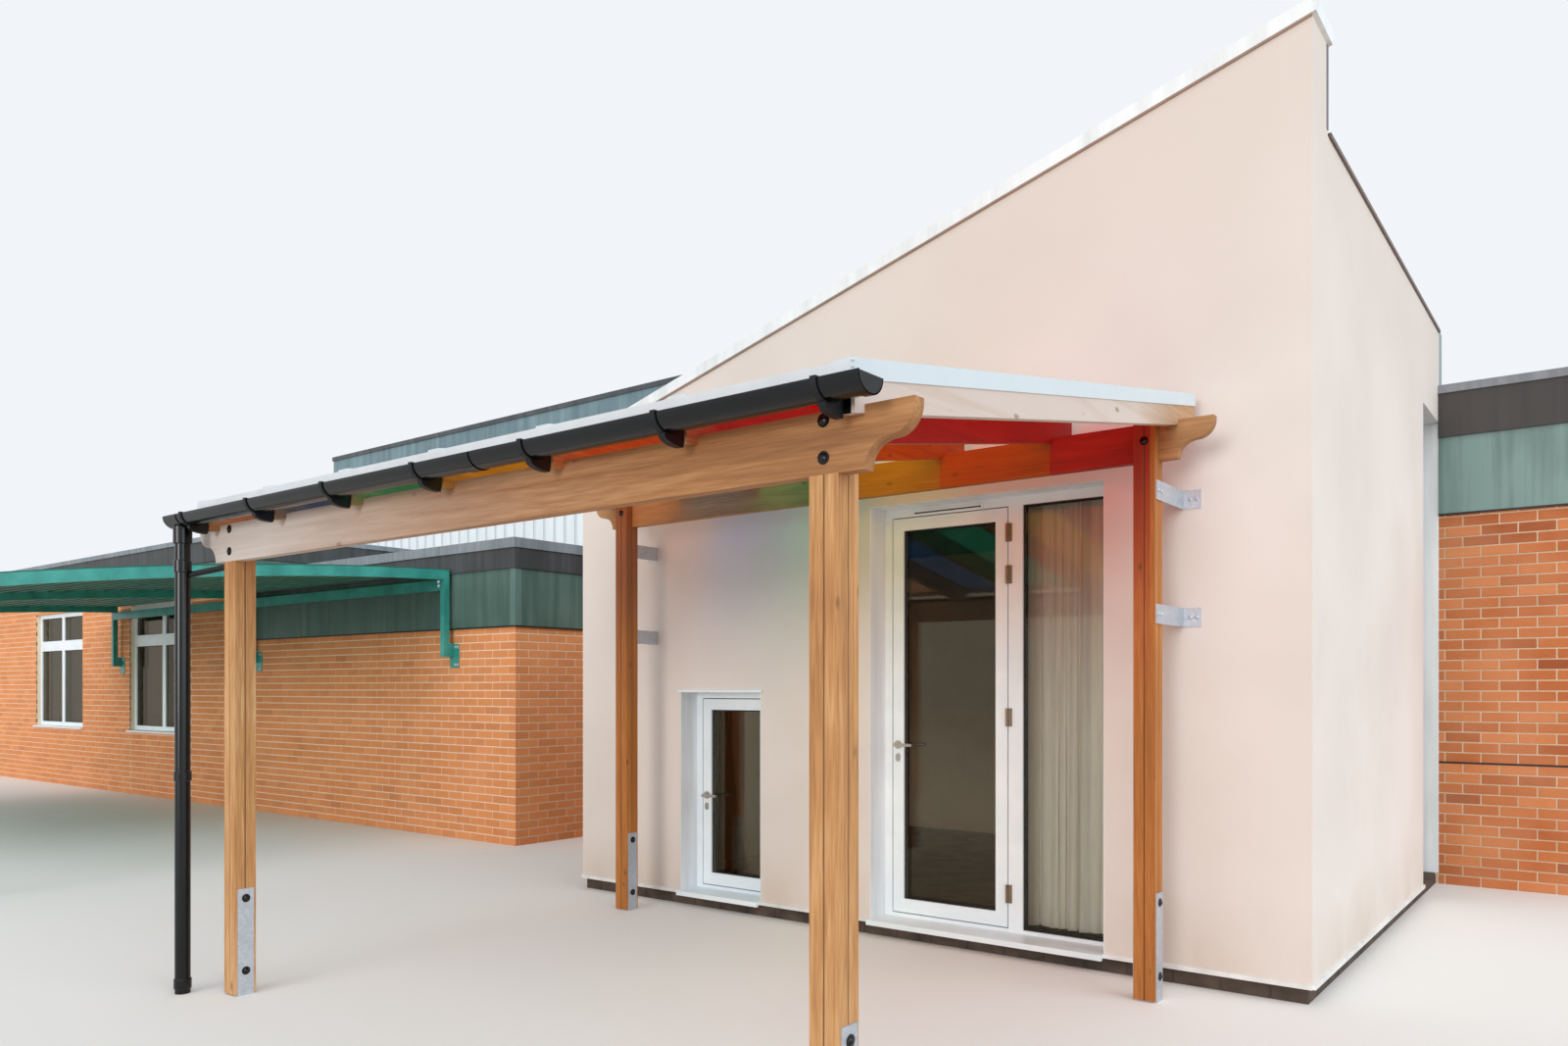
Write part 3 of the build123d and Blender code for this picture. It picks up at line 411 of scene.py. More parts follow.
galvanised = steelMaterial("galvanisedSteel", (176, 181, 190), (200, 205, 212), 0.45, 90, 0.55)
dress(["canopy_wall_brackets", "post_shoes"], galvanised)
satinSteel = steelMaterial("satinSteel", (176, 168, 158), (202, 196, 188), 0.32, 400, 0.8)
dress(["main_door_handles", "small_door_handles"], satinSteel)
dress(["door_hinges"], steelMaterial("hingeBronze", (112, 96, 78), (140, 122, 102), 0.35, 400, 0.8))
print("whites and metals done")

# Black rainwater goods and seals
rainwater = {
    "dark": (5, 6, 8),
    "light": (13, 14, 17),
    "roughness": 0.20,
    "shine": 0.35,
    "patches": (2.0, 4, (1.5, 9, 9)),
    "reach": (0.4, 0.7),
    "grain": (30, 2),
    "relief": (0.0006, 0.25),
}
glossBlack = mottledMaterial("glossBlackPlastic", rainwater)
dullBlack = mottledMaterial("dullBlackRubber", {**rainwater, "roughness": 0.5})
dress(["canopy_gutter", "canopy_downpipe", "gutter_clips"], glossBlack)

# Clear glazing: lets light through and mirrors more the flatter it is seen
glazing = {"clear": (0.96, 0.98, 0.97, 1), "mirror": (166, 152, 130), "least": 0.05, "most": 0.85}


def glassMaterial():
    material, tree, surface = newMaterial("doorGlass", 0.015, 1.0)
    surface.inputs["Base Color"].default_value = shade(glazing["mirror"])
    bump(tree, surface, cloud(tree, 1.6, 1), 0.004, 0.1)
    clear = addNode(tree, "ShaderNodeBsdfTransparent", {"Color": glazing["clear"]}).outputs[0]
    facing = addNode(tree, "ShaderNodeLayerWeight", {"Blend": 0.35}).outputs["Fresnel"]
    share = fade(tree, facing, 0.0, 1.0, glazing["least"], glazing["most"])
    surfaceBy(tree, mixShaders(tree, share, clear, surface.outputs[0]))
    return material


dress(["main_door_pane", "small_door_pane", "fixed_panes", "left_window_panes"], glassMaterial())

# Canopy sheets: one hue a bay, from violet on the left to red on the right
canopyBays = {
    "first": -1.745,  # X where the first bay starts and the last one ends
    "last": 1.915,
    "hues": [(244, 218, 204), (134, 178, 224), (126, 228, 208), (255, 228, 74), (255, 168, 26), (242, 22, 36)],
    "glow": 0.12,  # share of light that the sheet scatters on its way through
    "gloss": 0.06,
}


def bayHue(tree):
    # The hue of the sheet above each spot, by its place along X
    along = fade(tree, placeOf(tree)["X"], canopyBays["first"], canopyBays["last"])
    count = len(canopyBays["hues"])
    return ramp(tree, along, [(i / count, hue) for i, hue in enumerate(canopyBays["hues"])], True)


def sheetMaterial():
    material, tree, surface = newMaterial("colouredSheet", 0.22)
    hue = bayHue(tree)
    tree.links.new(hue, surface.inputs["Base Color"])
    bump(tree, surface, cloud(tree, 1.0, 1, (60, 1, 1)), 0.002, 0.2)
    clear = addNode(tree, "ShaderNodeBsdfTransparent", {"Color": hue}).outputs[0]
    glow = addNode(tree, "ShaderNodeBsdfTranslucent", {"Color": hue}).outputs[0]
    through = mixShaders(tree, canopyBays["glow"], clear, glow)
    surfaceBy(tree, mixShaders(tree, canopyBays["gloss"], through, surface.outputs[0]))
    return material


dress(["canopy_roof_sheets"], sheetMaterial())
print("glass and coloured sheets done")

# Timber: stained softwood with fine fibres, soft growth bands and knots that follow each length
timber = {
    "long": 0.05,  # how far the fibres are drawn out along the grain
    "lean": (0.01, 0.012, 0.008),
    "fibre": 150.0,
    "band": 14.0,
    "bandWarp": 1.6,
    "knotSpread": 9.0,
    "knotSize": 0.12,
    "knotDepth": 0.4,
    "sheetShadePaint": (0.74, 0.74, 0.74, 1),  # painted shade of the sheets over the timber that takes their painted coloured light
}
posts = {"x": (-1.63, 1.80), "y": (-4.855, -2.335), "grooveHalf": 0.0042}


def addGrooves(tree, colour, dark):
    # Shadow in the groove down the middle of each post's faces
    place = placeOf(tree)
    for axis, middles in (("X", posts["x"]), ("Y", posts["y"])):
        for middle in middles:
            aside = sums(tree, "ABSOLUTE", sums(tree, "SUBTRACT", place[axis], middle))
            line = fade(tree, aside, posts["grooveHalf"], posts["grooveHalf"] * 0.3, 0.0, 0.8)
            colour = blend(tree, line, colour, dark)
    return colour


def timberMaterial(name, along, tones, weatherAndSunlight=None, sheetLightPaint=None):
    # The fourth argument is (axis, from, to, colour, nearWall): the finish turns to that colour from the one place to
    # the other, as weathering on the front beam and as painted sunlight on the outermost rafter's outer face
    # The fifth argument is (axis, from, to, share, edge): there coloured light through the sheet above is painted on
    # the timber, darkened as painted shade, up to X = edge
    material, tree, surface = newMaterial(name, 0.62)
    stretch = tuple(timber["long"] if axis == along else 1.0 for axis in range(3))
    fibre = cloud(tree, timber["fibre"], 3, stretch, timber["lean"])
    band = cloud(tree, timber["band"], 2, stretch, timber["lean"], timber["bandWarp"])
    broad = patches(tree, (1.3, 3), 0.3, 0.7, -0.10, 0.10)
    grain = sums(tree, "ADD", weigh(tree, band, 0.5, fibre), broad)
    colour = ramp(tree, grain, list(zip((0.27, 0.5, 0.73), tones)))
    place = placeOf(tree)
    # weathering on the front beam, painted sunlight on the outermost rafter's outer face
    if weatherAndSunlight:
        axis, start, end, weatherAndSunTone, nearWall = weatherAndSunlight
        reach = fade(tree, place[axis], start, end)
        if nearWall:  # the painted sunlight fades out up to here along Y, towards the wall
            reach = times(tree, reach, fade(tree, place["Y"], nearWall, nearWall - 0.6, 0.25, 1.0))
        patchy = sums(tree, "ADD", reach, fade(tree, band, 0.3, 0.7, -0.18, 0.18), True)
        colour = blend(tree, times(tree, patchy, times(tree, reach, 0.9), True), colour, weatherAndSunTone)
    # painted coloured light from the sheets above, with painted shade under them
    if sheetLightPaint:
        axis, start, end, share, edge = sheetLightPaint
        near = fade(tree, place[axis], start, end, 0.0, share)
        inside = sums(tree, "LESS_THAN", place["X"], edge)
        sheetLitColour = blend(tree, 0.96, bayHue(tree), colour, "MULTIPLY")
        sheetLitColour = blend(tree, 1.0, sheetLitColour, timber["sheetShadePaint"], "MULTIPLY")
        colour = blend(tree, times(tree, near, inside, True), colour, sheetLitColour)
    knotStretch = tuple(0.5 if axis == along else 1.0 for axis in range(3))
    knotSockets = {"Vector": objectSpot(tree, knotStretch), "Scale": timber["knotSpread"]}
    distance = addNode(tree, "ShaderNodeTexVoronoi", knotSockets).outputs["Distance"]
    knot = fade(tree, distance, timber["knotSize"], timber["knotSize"] * 0.3)
    knotColour = tuple(c * timber["knotDepth"] for c in shade(tones[0])[:3]) + (1,)
    if along == 2:
        colour = addGrooves(tree, colour, knotColour)
    paint(tree, surface, times(tree, knot, 0.7), colour, knotColour)
    bump(tree, surface, fibre, 0.0010, 0.35)
    return material


# Each member's material, axis of its grain, three tones, where weathering and painted sunlight change its finish, and
# where coloured light through the sheets is painted on it
timberMembers = {
    "canopy_front_posts": ("timberUpright", 2, ((158, 104, 58), (194, 141, 88), (222, 178, 130))),
    # the back posts' tones are a darker, more orange copy of the posts' timber: painted shade and coloured light under
    # the canopy
    "canopy_back_posts": (
        "timberUprightBack",
        2,
        ((150, 88, 30), (172, 102, 36), (194, 126, 56)),
        None,
        ("Z", 1.3, 2.45, 0.8, 1.828),
    ),
    "canopy_front_beam": (
        "timberLevel",
        0,
        ((140, 92, 54), (168, 116, 70), (194, 144, 96)),
        ("X", 1.2, -1.3, (216, 208, 202), None),
    ),
    "canopy_wall_beam": (
        "timberLevelBack",
        0,
        ((150, 104, 62), (178, 128, 80), (198, 150, 100)),
        None,
        ("X", -0.35, 0.10, 0.9, 1.80),
    ),
    "canopy_rafters": (
        "timberRunning",
        1,
        ((158, 114, 72), (184, 138, 94), (208, 166, 124)),
        # painted sunlight on the outermost rafter's outer face
        ("X", 1.86, 1.90, (212, 198, 191), -2.25),
        ("Y", -5.0, -4.8, 0.95, 1.885),
    ),
}
for name, look in timberMembers.items():
    dress([name], timberMaterial(*look))
print("timber done")

# Green canopy
greenCoat = {"patches": (5.0, 4), "reach": (0.35, 0.7), "grain": (120, 2), "relief": (0.0004, 0.3)}
greenLooks = {
    "metal": {**greenCoat, "light": (66, 166, 156), "dark": (44, 136, 126), "roughness": 0.35},
    "rib": {**greenCoat, "light": (58, 120, 106), "dark": (44, 100, 88), "roughness": 0.4},
    "sheet": {**greenCoat, "light": (98, 168, 150), "dark": (72, 140, 124), "roughness": 0.4},
    "glow": 0.75,  # light that comes through the thin sheet
}


def greenSheetMaterial():
    material = mottledMaterial("greenRoofSheet", greenLooks["sheet"])
    tree = material.node_tree
    passing = addNode(tree, "ShaderNodeBsdfTranslucent", {"Color": shade(greenLooks["sheet"]["light"])}).outputs[0]
    surfaceBy(tree, mixShaders(tree, greenLooks["glow"], tree.nodes["Principled BSDF"].outputs[0], passing))
    return material


greenRibMetal = mottledMaterial("greenRibMetal", greenLooks["rib"])
dress(named("green_canopy"), mottledMaterial("greenCoatedMetal", greenLooks["metal"]))
dress(["green_canopy_sheets"], greenSheetMaterial())
print("green canopy coated")


# Geometry Nodes helpers: a tree of chamfered blocks and a tree of domed caps, both set out on a carrier's points
def startTree(name, labels):
    tree = bpy.data.node_groups.new(name, "GeometryNodeTree")
    inputs = [("Geometry", "NodeSocketGeometry")] + [(label, "NodeSocketFloat") for label in labels]
    for label, kind in inputs + [("Tone Seed", "NodeSocketInt"), ("Finish", "NodeSocketMaterial")]:
        tree.interface.new_socket(name=label, in_out="INPUT", socket_type=kind)
    tree.interface.new_socket(name="Geometry", in_out="OUTPUT", socket_type="NodeSocketGeometry")
    return tree, tree.nodes.new("NodeGroupInput").outputs


def namedField(tree, name):
    sockets = {"Name": name}
    return addNode(tree, "GeometryNodeInputNamedAttribute", sockets, data_type="FLOAT_VECTOR").outputs["Attribute"]


def finishTree(tree, shape, group):
    # The shape at every point, by the point's turn and stretch, with a random tone for each copy
    sockets = {"Points": group["Geometry"], "Instance": shape}
    sockets.update({"Rotation": namedField(tree, "turn"), "Scale": namedField(tree, "stretch")})
    placed = addNode(tree, "GeometryNodeInstanceOnPoints", sockets).outputs["Instances"]
    tone = addNode(tree, "FunctionNodeRandomValue", {"Seed": group["Tone Seed"]}, data_type="FLOAT").outputs[1]
    sockets = {"Geometry": placed, "Name": "tone", "Value": tone}
    settings = {"domain": "INSTANCE", "data_type": "FLOAT"}
    stored = addNode(tree, "GeometryNodeStoreNamedAttribute", sockets, **settings).outputs["Geometry"]
    real = addNode(tree, "GeometryNodeRealizeInstances", {"Geometry": stored}).outputs["Geometry"]
    final = addNode(tree, "GeometryNodeSetMaterial", {"Geometry": real, "Material": group["Finish"]})
    tree.links.new(final.outputs["Geometry"], tree.nodes.new("NodeGroupOutput").inputs["Geometry"])
    return tree


def blockTree():
    # A block whose -Y face is chamfered
    tree, group = startTree("blocks", ("Length", "Depth", "Height", "Chamfer"))
    size = addNode(tree, "ShaderNodeCombineXYZ", {0: group["Length"], 1: group["Depth"], 2: group["Height"]})
    cube = addNode(tree, "GeometryNodeMeshCube", {"Size": size.outputs[0]}).outputs["Mesh"]
    normal = addNode(tree, "GeometryNodeInputNormal").outputs["Normal"]
    facing = sums(tree, "LESS_THAN", addNode(tree, "ShaderNodeSeparateXYZ", {0: normal}).outputs["Y"], -0.5)
    sockets = {"Mesh": cube, "Selection": facing, "Offset Scale": group["Chamfer"]}
    raised = addNode(tree, "GeometryNodeExtrudeMesh", sockets, mode="FACES").outputs
    spot = addNode(tree, "ShaderNodeSeparateXYZ", {0: addNode(tree, "GeometryNodeInputPosition").outputs[0]}).outputs
    inward = times(tree, group["Chamfer"], -1.0)
    pullX, pullZ = [times(tree, sums(tree, "SIGN", spot[axis]), inward) for axis in ("X", "Z")]
    pull = addNode(tree, "ShaderNodeCombineXYZ", {0: pullX, 2: pullZ}).outputs[0]
    sockets = {"Geometry": raised["Mesh"], "Selection": raised["Top"], "Offset": pull}
    return finishTree(tree, addNode(tree, "GeometryNodeSetPosition", sockets).outputs["Geometry"], group)


def capTree():
    # A domed cap over a thin washer
    tree, group = startTree("caps", ("Radius", "Rise", "Washer"))
    ball = addNode(tree, "GeometryNodeMeshUVSphere", {"Segments": 12, "Rings": 8, "Radius": 1.0}).outputs["Mesh"]
    size = addNode(tree, "ShaderNodeCombineXYZ", {0: group["Radius"], 1: group["Radius"], 2: group["Rise"]}).outputs[0]
    dome = addNode(tree, "GeometryNodeTransform", {"Geometry": ball, "Scale": size}).outputs["Geometry"]
    sockets = {"Vertices": 16, "Radius": times(tree, group["Radius"], 1.25), "Depth": group["Washer"]}
    ring = addNode(tree, "GeometryNodeMeshCylinder", sockets).outputs["Mesh"]
    both = addNode(tree, "GeometryNodeJoinGeometry")
    tree.links.new(dome, both.inputs[0])
    tree.links.new(ring, both.inputs[0])
    return finishTree(tree, both.outputs[0], group)


blocks = blockTree()
caps = capTree()
even = (1, 1, 1)
straight = (0, 0, 0)
facingFront = (radians(90), 0, 0)
facingRight = (0, radians(90), 0)
facingLeft = (0, radians(-90), 0)


def setOut(name, tree, spots, sizes, material):
    # spots holds, for each copy, its place, its turn and its stretch
    mesh = bpy.data.meshes.new(name)
    mesh.from_pydata([place for place, turn, stretch in spots], [], [])
    for label, values in (("turn", [s[1] for s in spots]), ("stretch", [s[2] for s in spots])):
        field = mesh.attributes.new(label, "FLOAT_VECTOR", "POINT")
        field.data.foreach_set("vector", [v for value in values for v in value])
    piece = addObject(name, mesh)
    modifier = piece.modifiers.new("setOut", "NODES")
    modifier.node_group = tree
    values = {**sizes, "Finish": material}
    for item in tree.interface.items_tree:
        if item.in_out == "INPUT" and item.name in values:
            modifier[item.identifier] = values[item.name]
    graph = bpy.context.evaluated_depsgraph_get()
    made = bpy.data.meshes.new_from_object(piece.evaluated_get(graph), depsgraph=graph)
    piece.modifiers.remove(modifier)
    piece.data = made
    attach(piece, "building")


# Plain mesh helpers. A place function turns an outline's (u, v) and a depth w into X, Y and Z
tuck = 0.001  # how far a trim reaches into what it is fixed to


def upPlace(u, v, w):
    return (u, v, w)


def sidePlace(u, v, w):
    return (w, u, v)


def frontPlace(u, v, w):
    return (u, w, v)


def finishPiece(name, shape, material, body="building"):
    bmesh.ops.recalc_face_normals(shape, faces=shape.faces)
    mesh = bpy.data.meshes.new(name)
    shape.to_mesh(mesh)
    shape.free()
    mesh.materials.append(material)
    piece = addObject(name, mesh)
    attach(piece, body)
    return piece


def skinLoops(shape, loops, count):
    # Quads between each loop of points and the next
    for first, second in loops:
        for i in range(count):
            j = (i + 1) % count
            shape.faces.new((first[i], first[j], second[j], second[i]))


def addRing(shape, place, outer, inner, low, high):
    # A mitred rectangular ring: outer and inner are (from, to, bottom, top), low and high its two faces
    def corners(edge, depth):
        a, b, c, d = edge
        return [shape.verts.new(place(u, v, depth)) for u, v in ((a, c), (b, c), (b, d), (a, d))]

    loops = [corners(outer, low), corners(inner, low), corners(inner, high), corners(outer, high)]
    skinLoops(shape, zip(loops, loops[1:] + loops[:1]), 4)


def addPrism(shape, place, outline, low, high):
    # A solid with the given outline between two depths
    front = [shape.verts.new(place(u, v, low)) for u, v in outline]
    rear = [shape.verts.new(place(u, v, high)) for u, v in outline]
    shape.faces.new(front)
    shape.faces.new(rear)
    skinLoops(shape, [(front, rear)], len(outline))


def softEdges(shape, width):
    bmesh.ops.recalc_face_normals(shape, faces=shape.faces)
    bmesh.ops.bevel(shape, geom=list(shape.edges), offset=width, segments=1, affect="EDGES", clamp_overlap=True)


def prismPiece(name, place, outline, low, high, material, slot, soft=0):
    shape = bmesh.new()
    addPrism(shape, place, outline, low, high)
    if soft:
        softEdges(shape, soft)
    finishPiece(name, shape, material)


def circle(radius, sides):
    return [(cos(2 * pi * k / sides) * radius, sin(2 * pi * k / sides) * radius) for k in range(sides)]


def addRod(shape, rings):
    # A capped solid through rings of points
    loops = [[shape.verts.new(spot) for spot in ring] for ring in rings]
    skinLoops(shape, zip(loops, loops[1:]), len(loops[0]))
    shape.faces.new(loops[0])
    shape.faces.new(loops[-1])


def addTube(shape, start, end, radius, sides=20):
    # A round bar between two points
    turn = (Vector(end) - Vector(start)).to_track_quat("Z", "Y")
    spots = [turn @ Vector((u, v, 0)) for u, v in circle(radius, sides)]
    addRod(shape, [[Vector(point) + spot for spot in spots] for point in (start, end)])


# Brickwork: fired facings with weathered faces, laid half bond on the wings' mortar-coloured walls
brickwork = {
    "Length": 0.215,
    "Height": 0.065,
    "Depth": 0.014,
    "Chamfer": 0.0025,
    "joint": 0.010,
    "proud": 0.004,
    "leastPart": 0.018,  # cut bricks shorter than this are left out
    "fired": [
        (0.0, (152, 78, 40)),
        (0.15, (178, 96, 48)),
        (0.6, (190, 108, 56)),
        (0.9, (206, 126, 74)),
        (1.0, (170, 90, 48)),
    ],
    "leftPaler": 0.42,  # painted light: the left wings' bricks and mortar are lightened
    "leftMortar": 0.7,
    "Tone Seed": 11,
}
wings = {
    "rearLeft": -4.82,
    "rearRight": 4.83,
    "rearFront": 1.995,
    "back": 6.995,
    "blockSide": 2.43,
    "lowRight": -4.51,
    "leftFront": -0.94,
    "party": -9.62,
    "farLeft": -17.80,
    "brickTop": 2.722,
    "felted": 2.7225,  # above this the walls' inner faces are felted
    "lowBrickTop": 2.013,
    "windows": [(-16.15, -14.35), (-12.74, -10.94)],
    "sill": 0.87,
    "head": 2.57,
}


def onLeftWings(tree, share):
    # That share on the left wings, 0 elsewhere
    return times(tree, sums(tree, "LESS_THAN", placeOf(tree)["X"], panels["between"]), share)


def brickMaterial():
    material, tree, surface = newMaterial("facingBrick", 0.86)
    tone = addNode(tree, "ShaderNodeAttribute", attribute_name="tone").outputs["Fac"]
    speckle = patches(tree, (95, 4), 0.52, 0.72, 0.0, 0.45)
    marked = blend(tree, speckle, ramp(tree, tone, brickwork["fired"]), (132, 70, 48))
    blush = patches(tree, (2.2, 4), 0.35, 0.7, 0.0, 0.35)
    blushed = blend(tree, blush, marked, (220, 156, 114))
    # painted light: the left wings' bricks lightened
    paint(tree, surface, onLeftWings(tree, brickwork["leftPaler"]), blushed, (255, 176, 112))
    bump(tree, surface, cloud(tree, 60, 5), 0.003, 0.5)
    return material


def mortarMaterial():
    material, tree, surface = newMaterial("paleMortar", 0.93)
    sand = cloud(tree, 300, 3)
    mixed = weigh(tree, sand, 0.5, cloud(tree, 1.5, 4))
    pale = blend(tree, fade(tree, mixed, 0.4, 0.6), (198, 170, 140), (224, 200, 172))
    # painted light: the left wings' mortar lightened
    pale = blend(tree, onLeftWings(tree, brickwork["leftMortar"]), pale, (255, 238, 214))
    felted = sums(tree, "GREATER_THAN", placeOf(tree)["Z"], wings["felted"])
    paint(tree, surface, felted, pale, felt["pale"])
    bump(tree, surface, sand, 0.002, 0.5)
    return material


# How bricks turn on a wall that faces each side, whether it runs along X, and which way is inward
facings = {"front": (0, True, 1), "right": (90, False, -1), "back": (180, True, -1), "left": (270, False, 1)}


def bricksIn(plane, side, start, end, low, high):
    # The bricks of one wall: plane is its X or Y, start and end run along it
    degrees, alongX, inward = facings[side]
    pitch = brickwork["Length"] + brickwork["joint"]
    course = brickwork["Height"] + brickwork["joint"]
    depth = plane + inward * (brickwork["Depth"] / 2 - brickwork["proud"] + brickwork["Chamfer"] / 2)
    spots = []
    for row in range(floor(low / course), ceil(high / course)):
        bottom = max(low, row * course)
        top = min(high, row * course + brickwork["Height"])
        shift = (row % 2) * pitch / 2
        for column in range(floor((start - shift) / pitch) - 1, ceil((end - shift) / pitch) + 1):
            first = max(start, column * pitch + shift)
            last = min(end, column * pitch + shift + brickwork["Length"])
            if min(last - first, top - bottom) < brickwork["leastPart"]:
                continue
            middle, height = (first + last) / 2, (bottom + top) / 2
            stretch = ((last - first) / brickwork["Length"], 1, (top - bottom) / brickwork["Height"])
            place = (middle, depth, height) if alongX else (depth, middle, height)
            spots.append((place, (0, 0, radians(degrees)), stretch))
    return spots


def layBricks(name, walls, sizes, material):
    spots = [spot for wall in walls for spot in bricksIn(*wall)]
    setOut(name, blocks, spots, sizes, material)
    print(name, "laid,", len(spots))


mortar = mortarMaterial()
brick = brickMaterial()
dress(named("wing_", "_wall") + ["left_front_walls", "left_cross_walls", "left_back_walls"], mortar)

edge = brickwork["proud"]
side, far, party = wings["blockSide"], wings["farLeft"], wings["party"]
rearFront, rearRight, back = wings["rearFront"], wings["rearRight"], wings["back"]
leftFront, lowRight = wings["leftFront"], wings["lowRight"]
wingTop, lowTop, sill, head = (wings[key] for key in ("brickTop", "lowBrickTop", "sill", "head"))
rearWalls = [
    (rearFront, "front", lowRight, -side, 0, wingTop),
    (rearFront, "front", side, rearRight + edge, 0, wingTop),
    (rearRight, "right", rearFront, back, 0, wingTop),
    (back, "back", wings["rearLeft"], rearRight + edge, 0, wingTop),
]
lowWalls = [
    (leftFront, "front", party, lowRight + edge, 0, lowTop),
    (lowRight, "right", leftFront, rearFront, 0, lowTop),
    (back, "back", party, wings["rearLeft"], 0, lowTop),
]
edges = [far - edge] + [x for pair in wings["windows"] for x in pair] + [party]
farWalls = [(leftFront, "front", start, end, 0, wingTop) for start, end in zip(edges[0::2], edges[1::2])]
for start, end in wings["windows"]:
    farWalls += [(leftFront, "front", start, end, 0, sill), (leftFront, "front", start, end, head, wingTop)]
farWalls += [(back, "back", far - edge, party, 0, wingTop), (far, "left", leftFront, back, 0, wingTop)]
layBricks("rearWingBricks", rearWalls, brickwork, brick)
layBricks("lowWingBricks", lowWalls, brickwork, brick)
layBricks("farWingBricks", farWalls, brickwork, brick)

# Plinth under the render: one course of dark bricks
plinth = {
    "front": -1.970,
    "side": 2.405,
    "back": 1.995,
    "top": 0.075,
    "dark": (58, 48, 42),
    "light": (96, 82, 72),
    "roughness": 0.9,
    "patches": (7, 5),
    "reach": (0.3, 0.7),
    "grain": (70, 4),
    "relief": (0.003, 0.5),
}
plinthSurface = mottledMaterial("plinthBrick", plinth)
dress(["block_base"], plinthSurface)
plinthWalls = [
    (plinth["front"], "front", -plinth["side"] - edge, plinth["side"] + edge, 0, plinth["top"]),
    (plinth["side"], "right", plinth["front"], plinth["back"], 0, plinth["top"]),
    (-plinth["side"], "left", plinth["front"], plinth["back"], 0, plinth["top"]),
]
layBricks("plinthBricks", plinthWalls, {**brickwork, "Tone Seed": 12}, plinthSurface)

# Damp course: a dark strip in a bed joint of the right-hand wing
dampCourse = {"bottom": 0.8880, "top": 0.9015, "proud": 0.007, "sunk": 0.002, "short": 0.01}
proud, sunk, short = (dampCourse[key] for key in ("proud", "sunk", "short"))
outline = [
    (side, rearFront + sunk),
    (side, rearFront - proud),
    (rearRight + proud, rearFront - proud),
    (rearRight + proud, back - short),
    (rearRight - sunk, back - short),
    (rearRight - sunk, rearFront + sunk),
]
prismPiece("dampCourse", upPlace, outline, dampCourse["bottom"], dampCourse["top"], dullBlack, "brown_fascia")
print("plinth and damp course done")

# Gaskets: black seals on both faces of every pane
gasket = {"width": 0.009, "front": 0.0035, "sunk": 0.001}


def sealPanes(name, panes, body="building"):
    # Each pane is its place function, its edges (from, to, bottom, top) and the depths of its faces
    shape = bmesh.new()
    w, out, inside = gasket["width"], gasket["front"], gasket["sunk"]
    for place, (a, b, c, d), low, high in panes:
        for near, far in ((low - out, low + inside), (high - inside, high + out)):
            addRing(shape, place, (a, b, c, d), (a + w, b - w, c + w, d - w), near, far)
    finishPiece(name, shape, dullBlack, body)


for name, node, body in (
    ("mainDoorGasket", "main_door_pane", "main_door"),
    ("smallDoorGasket", "small_door_pane", "small_door"),
):
    low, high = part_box(node)
    sealPanes(name, [(frontPlace, (low.x, high.x, low.z, high.z), low.y, high.y)], body)

fixedLights = [
    (frontPlace, (0.934, 1.403, 0.115, 2.443), -1.818, -1.790),  # beside the main door
    (sidePlace, (1.299, 1.941, 0.129, 3.346), 2.221, 2.249),  # the slot window
]
sealPanes("fixedLightGaskets", fixedLights)

leftWindows = {
    "depth": (-0.859, -0.831),
    "rows": ((0.93, 2.010), (2.160, 2.51)),
    "frame": 0.06,
    "mullion": 0.09,
}
panes = []
for start, end in wings["windows"]:
    middle = (start + end) / 2
    columns = (
        (start + leftWindows["frame"], middle - leftWindows["mullion"] / 2),
        (middle + leftWindows["mullion"] / 2, end - leftWindows["frame"]),
    )
    panes += [(frontPlace, column + row, *leftWindows["depth"]) for column in columns for row in leftWindows["rows"]]
sealPanes("wingWindowGaskets", panes)

# Sills under the wing's windows: white, with a nose past the brickwork
wingSill = {
    "reach": 0.045,
    "gap": 0.02,
    "thickness": 0.028,
    "backRise": 0.006,
    "noseDrop": 0.008,
    "overrun": 0.03,
    "soft": 0.003,
}
nose, behind = leftFront - wingSill["reach"], leftWindows["depth"][0] - wingSill["gap"]
outline = [(nose, sill - wingSill["thickness"]), (behind, sill - wingSill["thickness"])]
outline += [(behind, sill + wingSill["backRise"]), (nose, sill - wingSill["noseDrop"])]
sills = bmesh.new()
for start, end in wings["windows"]:
    addPrism(sills, sidePlace, outline, start - wingSill["overrun"], end + wingSill["overrun"])
softEdges(sills, wingSill["soft"])
finishPiece("wingWindowSills", sills, whiteSurface)
print("gaskets and sills done")

# Trickle vent over the tall door's leaf: a white hood with a row of dark slots
trickleVent = {
    "hood": (0.24, 0.70, 2.450, 2.476),
    "face": -1.835,
    "proud": 0.010,
    "soft": 0.002,
    "slots": 24,
    "slotRise": 0.009,
    "slotProud": 0.0004,
    "slotShare": 0.86,
    "margin": 0.015,
    "Depth": 0.002,
    "Height": 0.008,
    "Chamfer": 0.0004,
    "Tone Seed": 3,
}
left, right, low, high = trickleVent["hood"]
ventFront = trickleVent["face"] - trickleVent["proud"]
outline = [(left, low), (right, low), (right, high), (left, high)]
ventDepths = (ventFront, trickleVent["face"] + tuck)
prismPiece("trickleVent", frontPlace, outline, *ventDepths, whiteSurface, "white_frame", trickleVent["soft"])
step = (right - left - 2 * trickleVent["margin"]) / trickleVent["slots"]
slotXs = [left + trickleVent["margin"] + step * (i + 0.5) for i in range(trickleVent["slots"])]
slotY, slotZ = ventFront - trickleVent["slotProud"], low + trickleVent["slotRise"]
ventSpots = [((x, slotY, slotZ), straight, even) for x in slotXs]
ventSizes = {**trickleVent, "Length": step * trickleVent["slotShare"]}
setOut("trickleVentSlots", blocks, ventSpots, ventSizes, dullBlack)

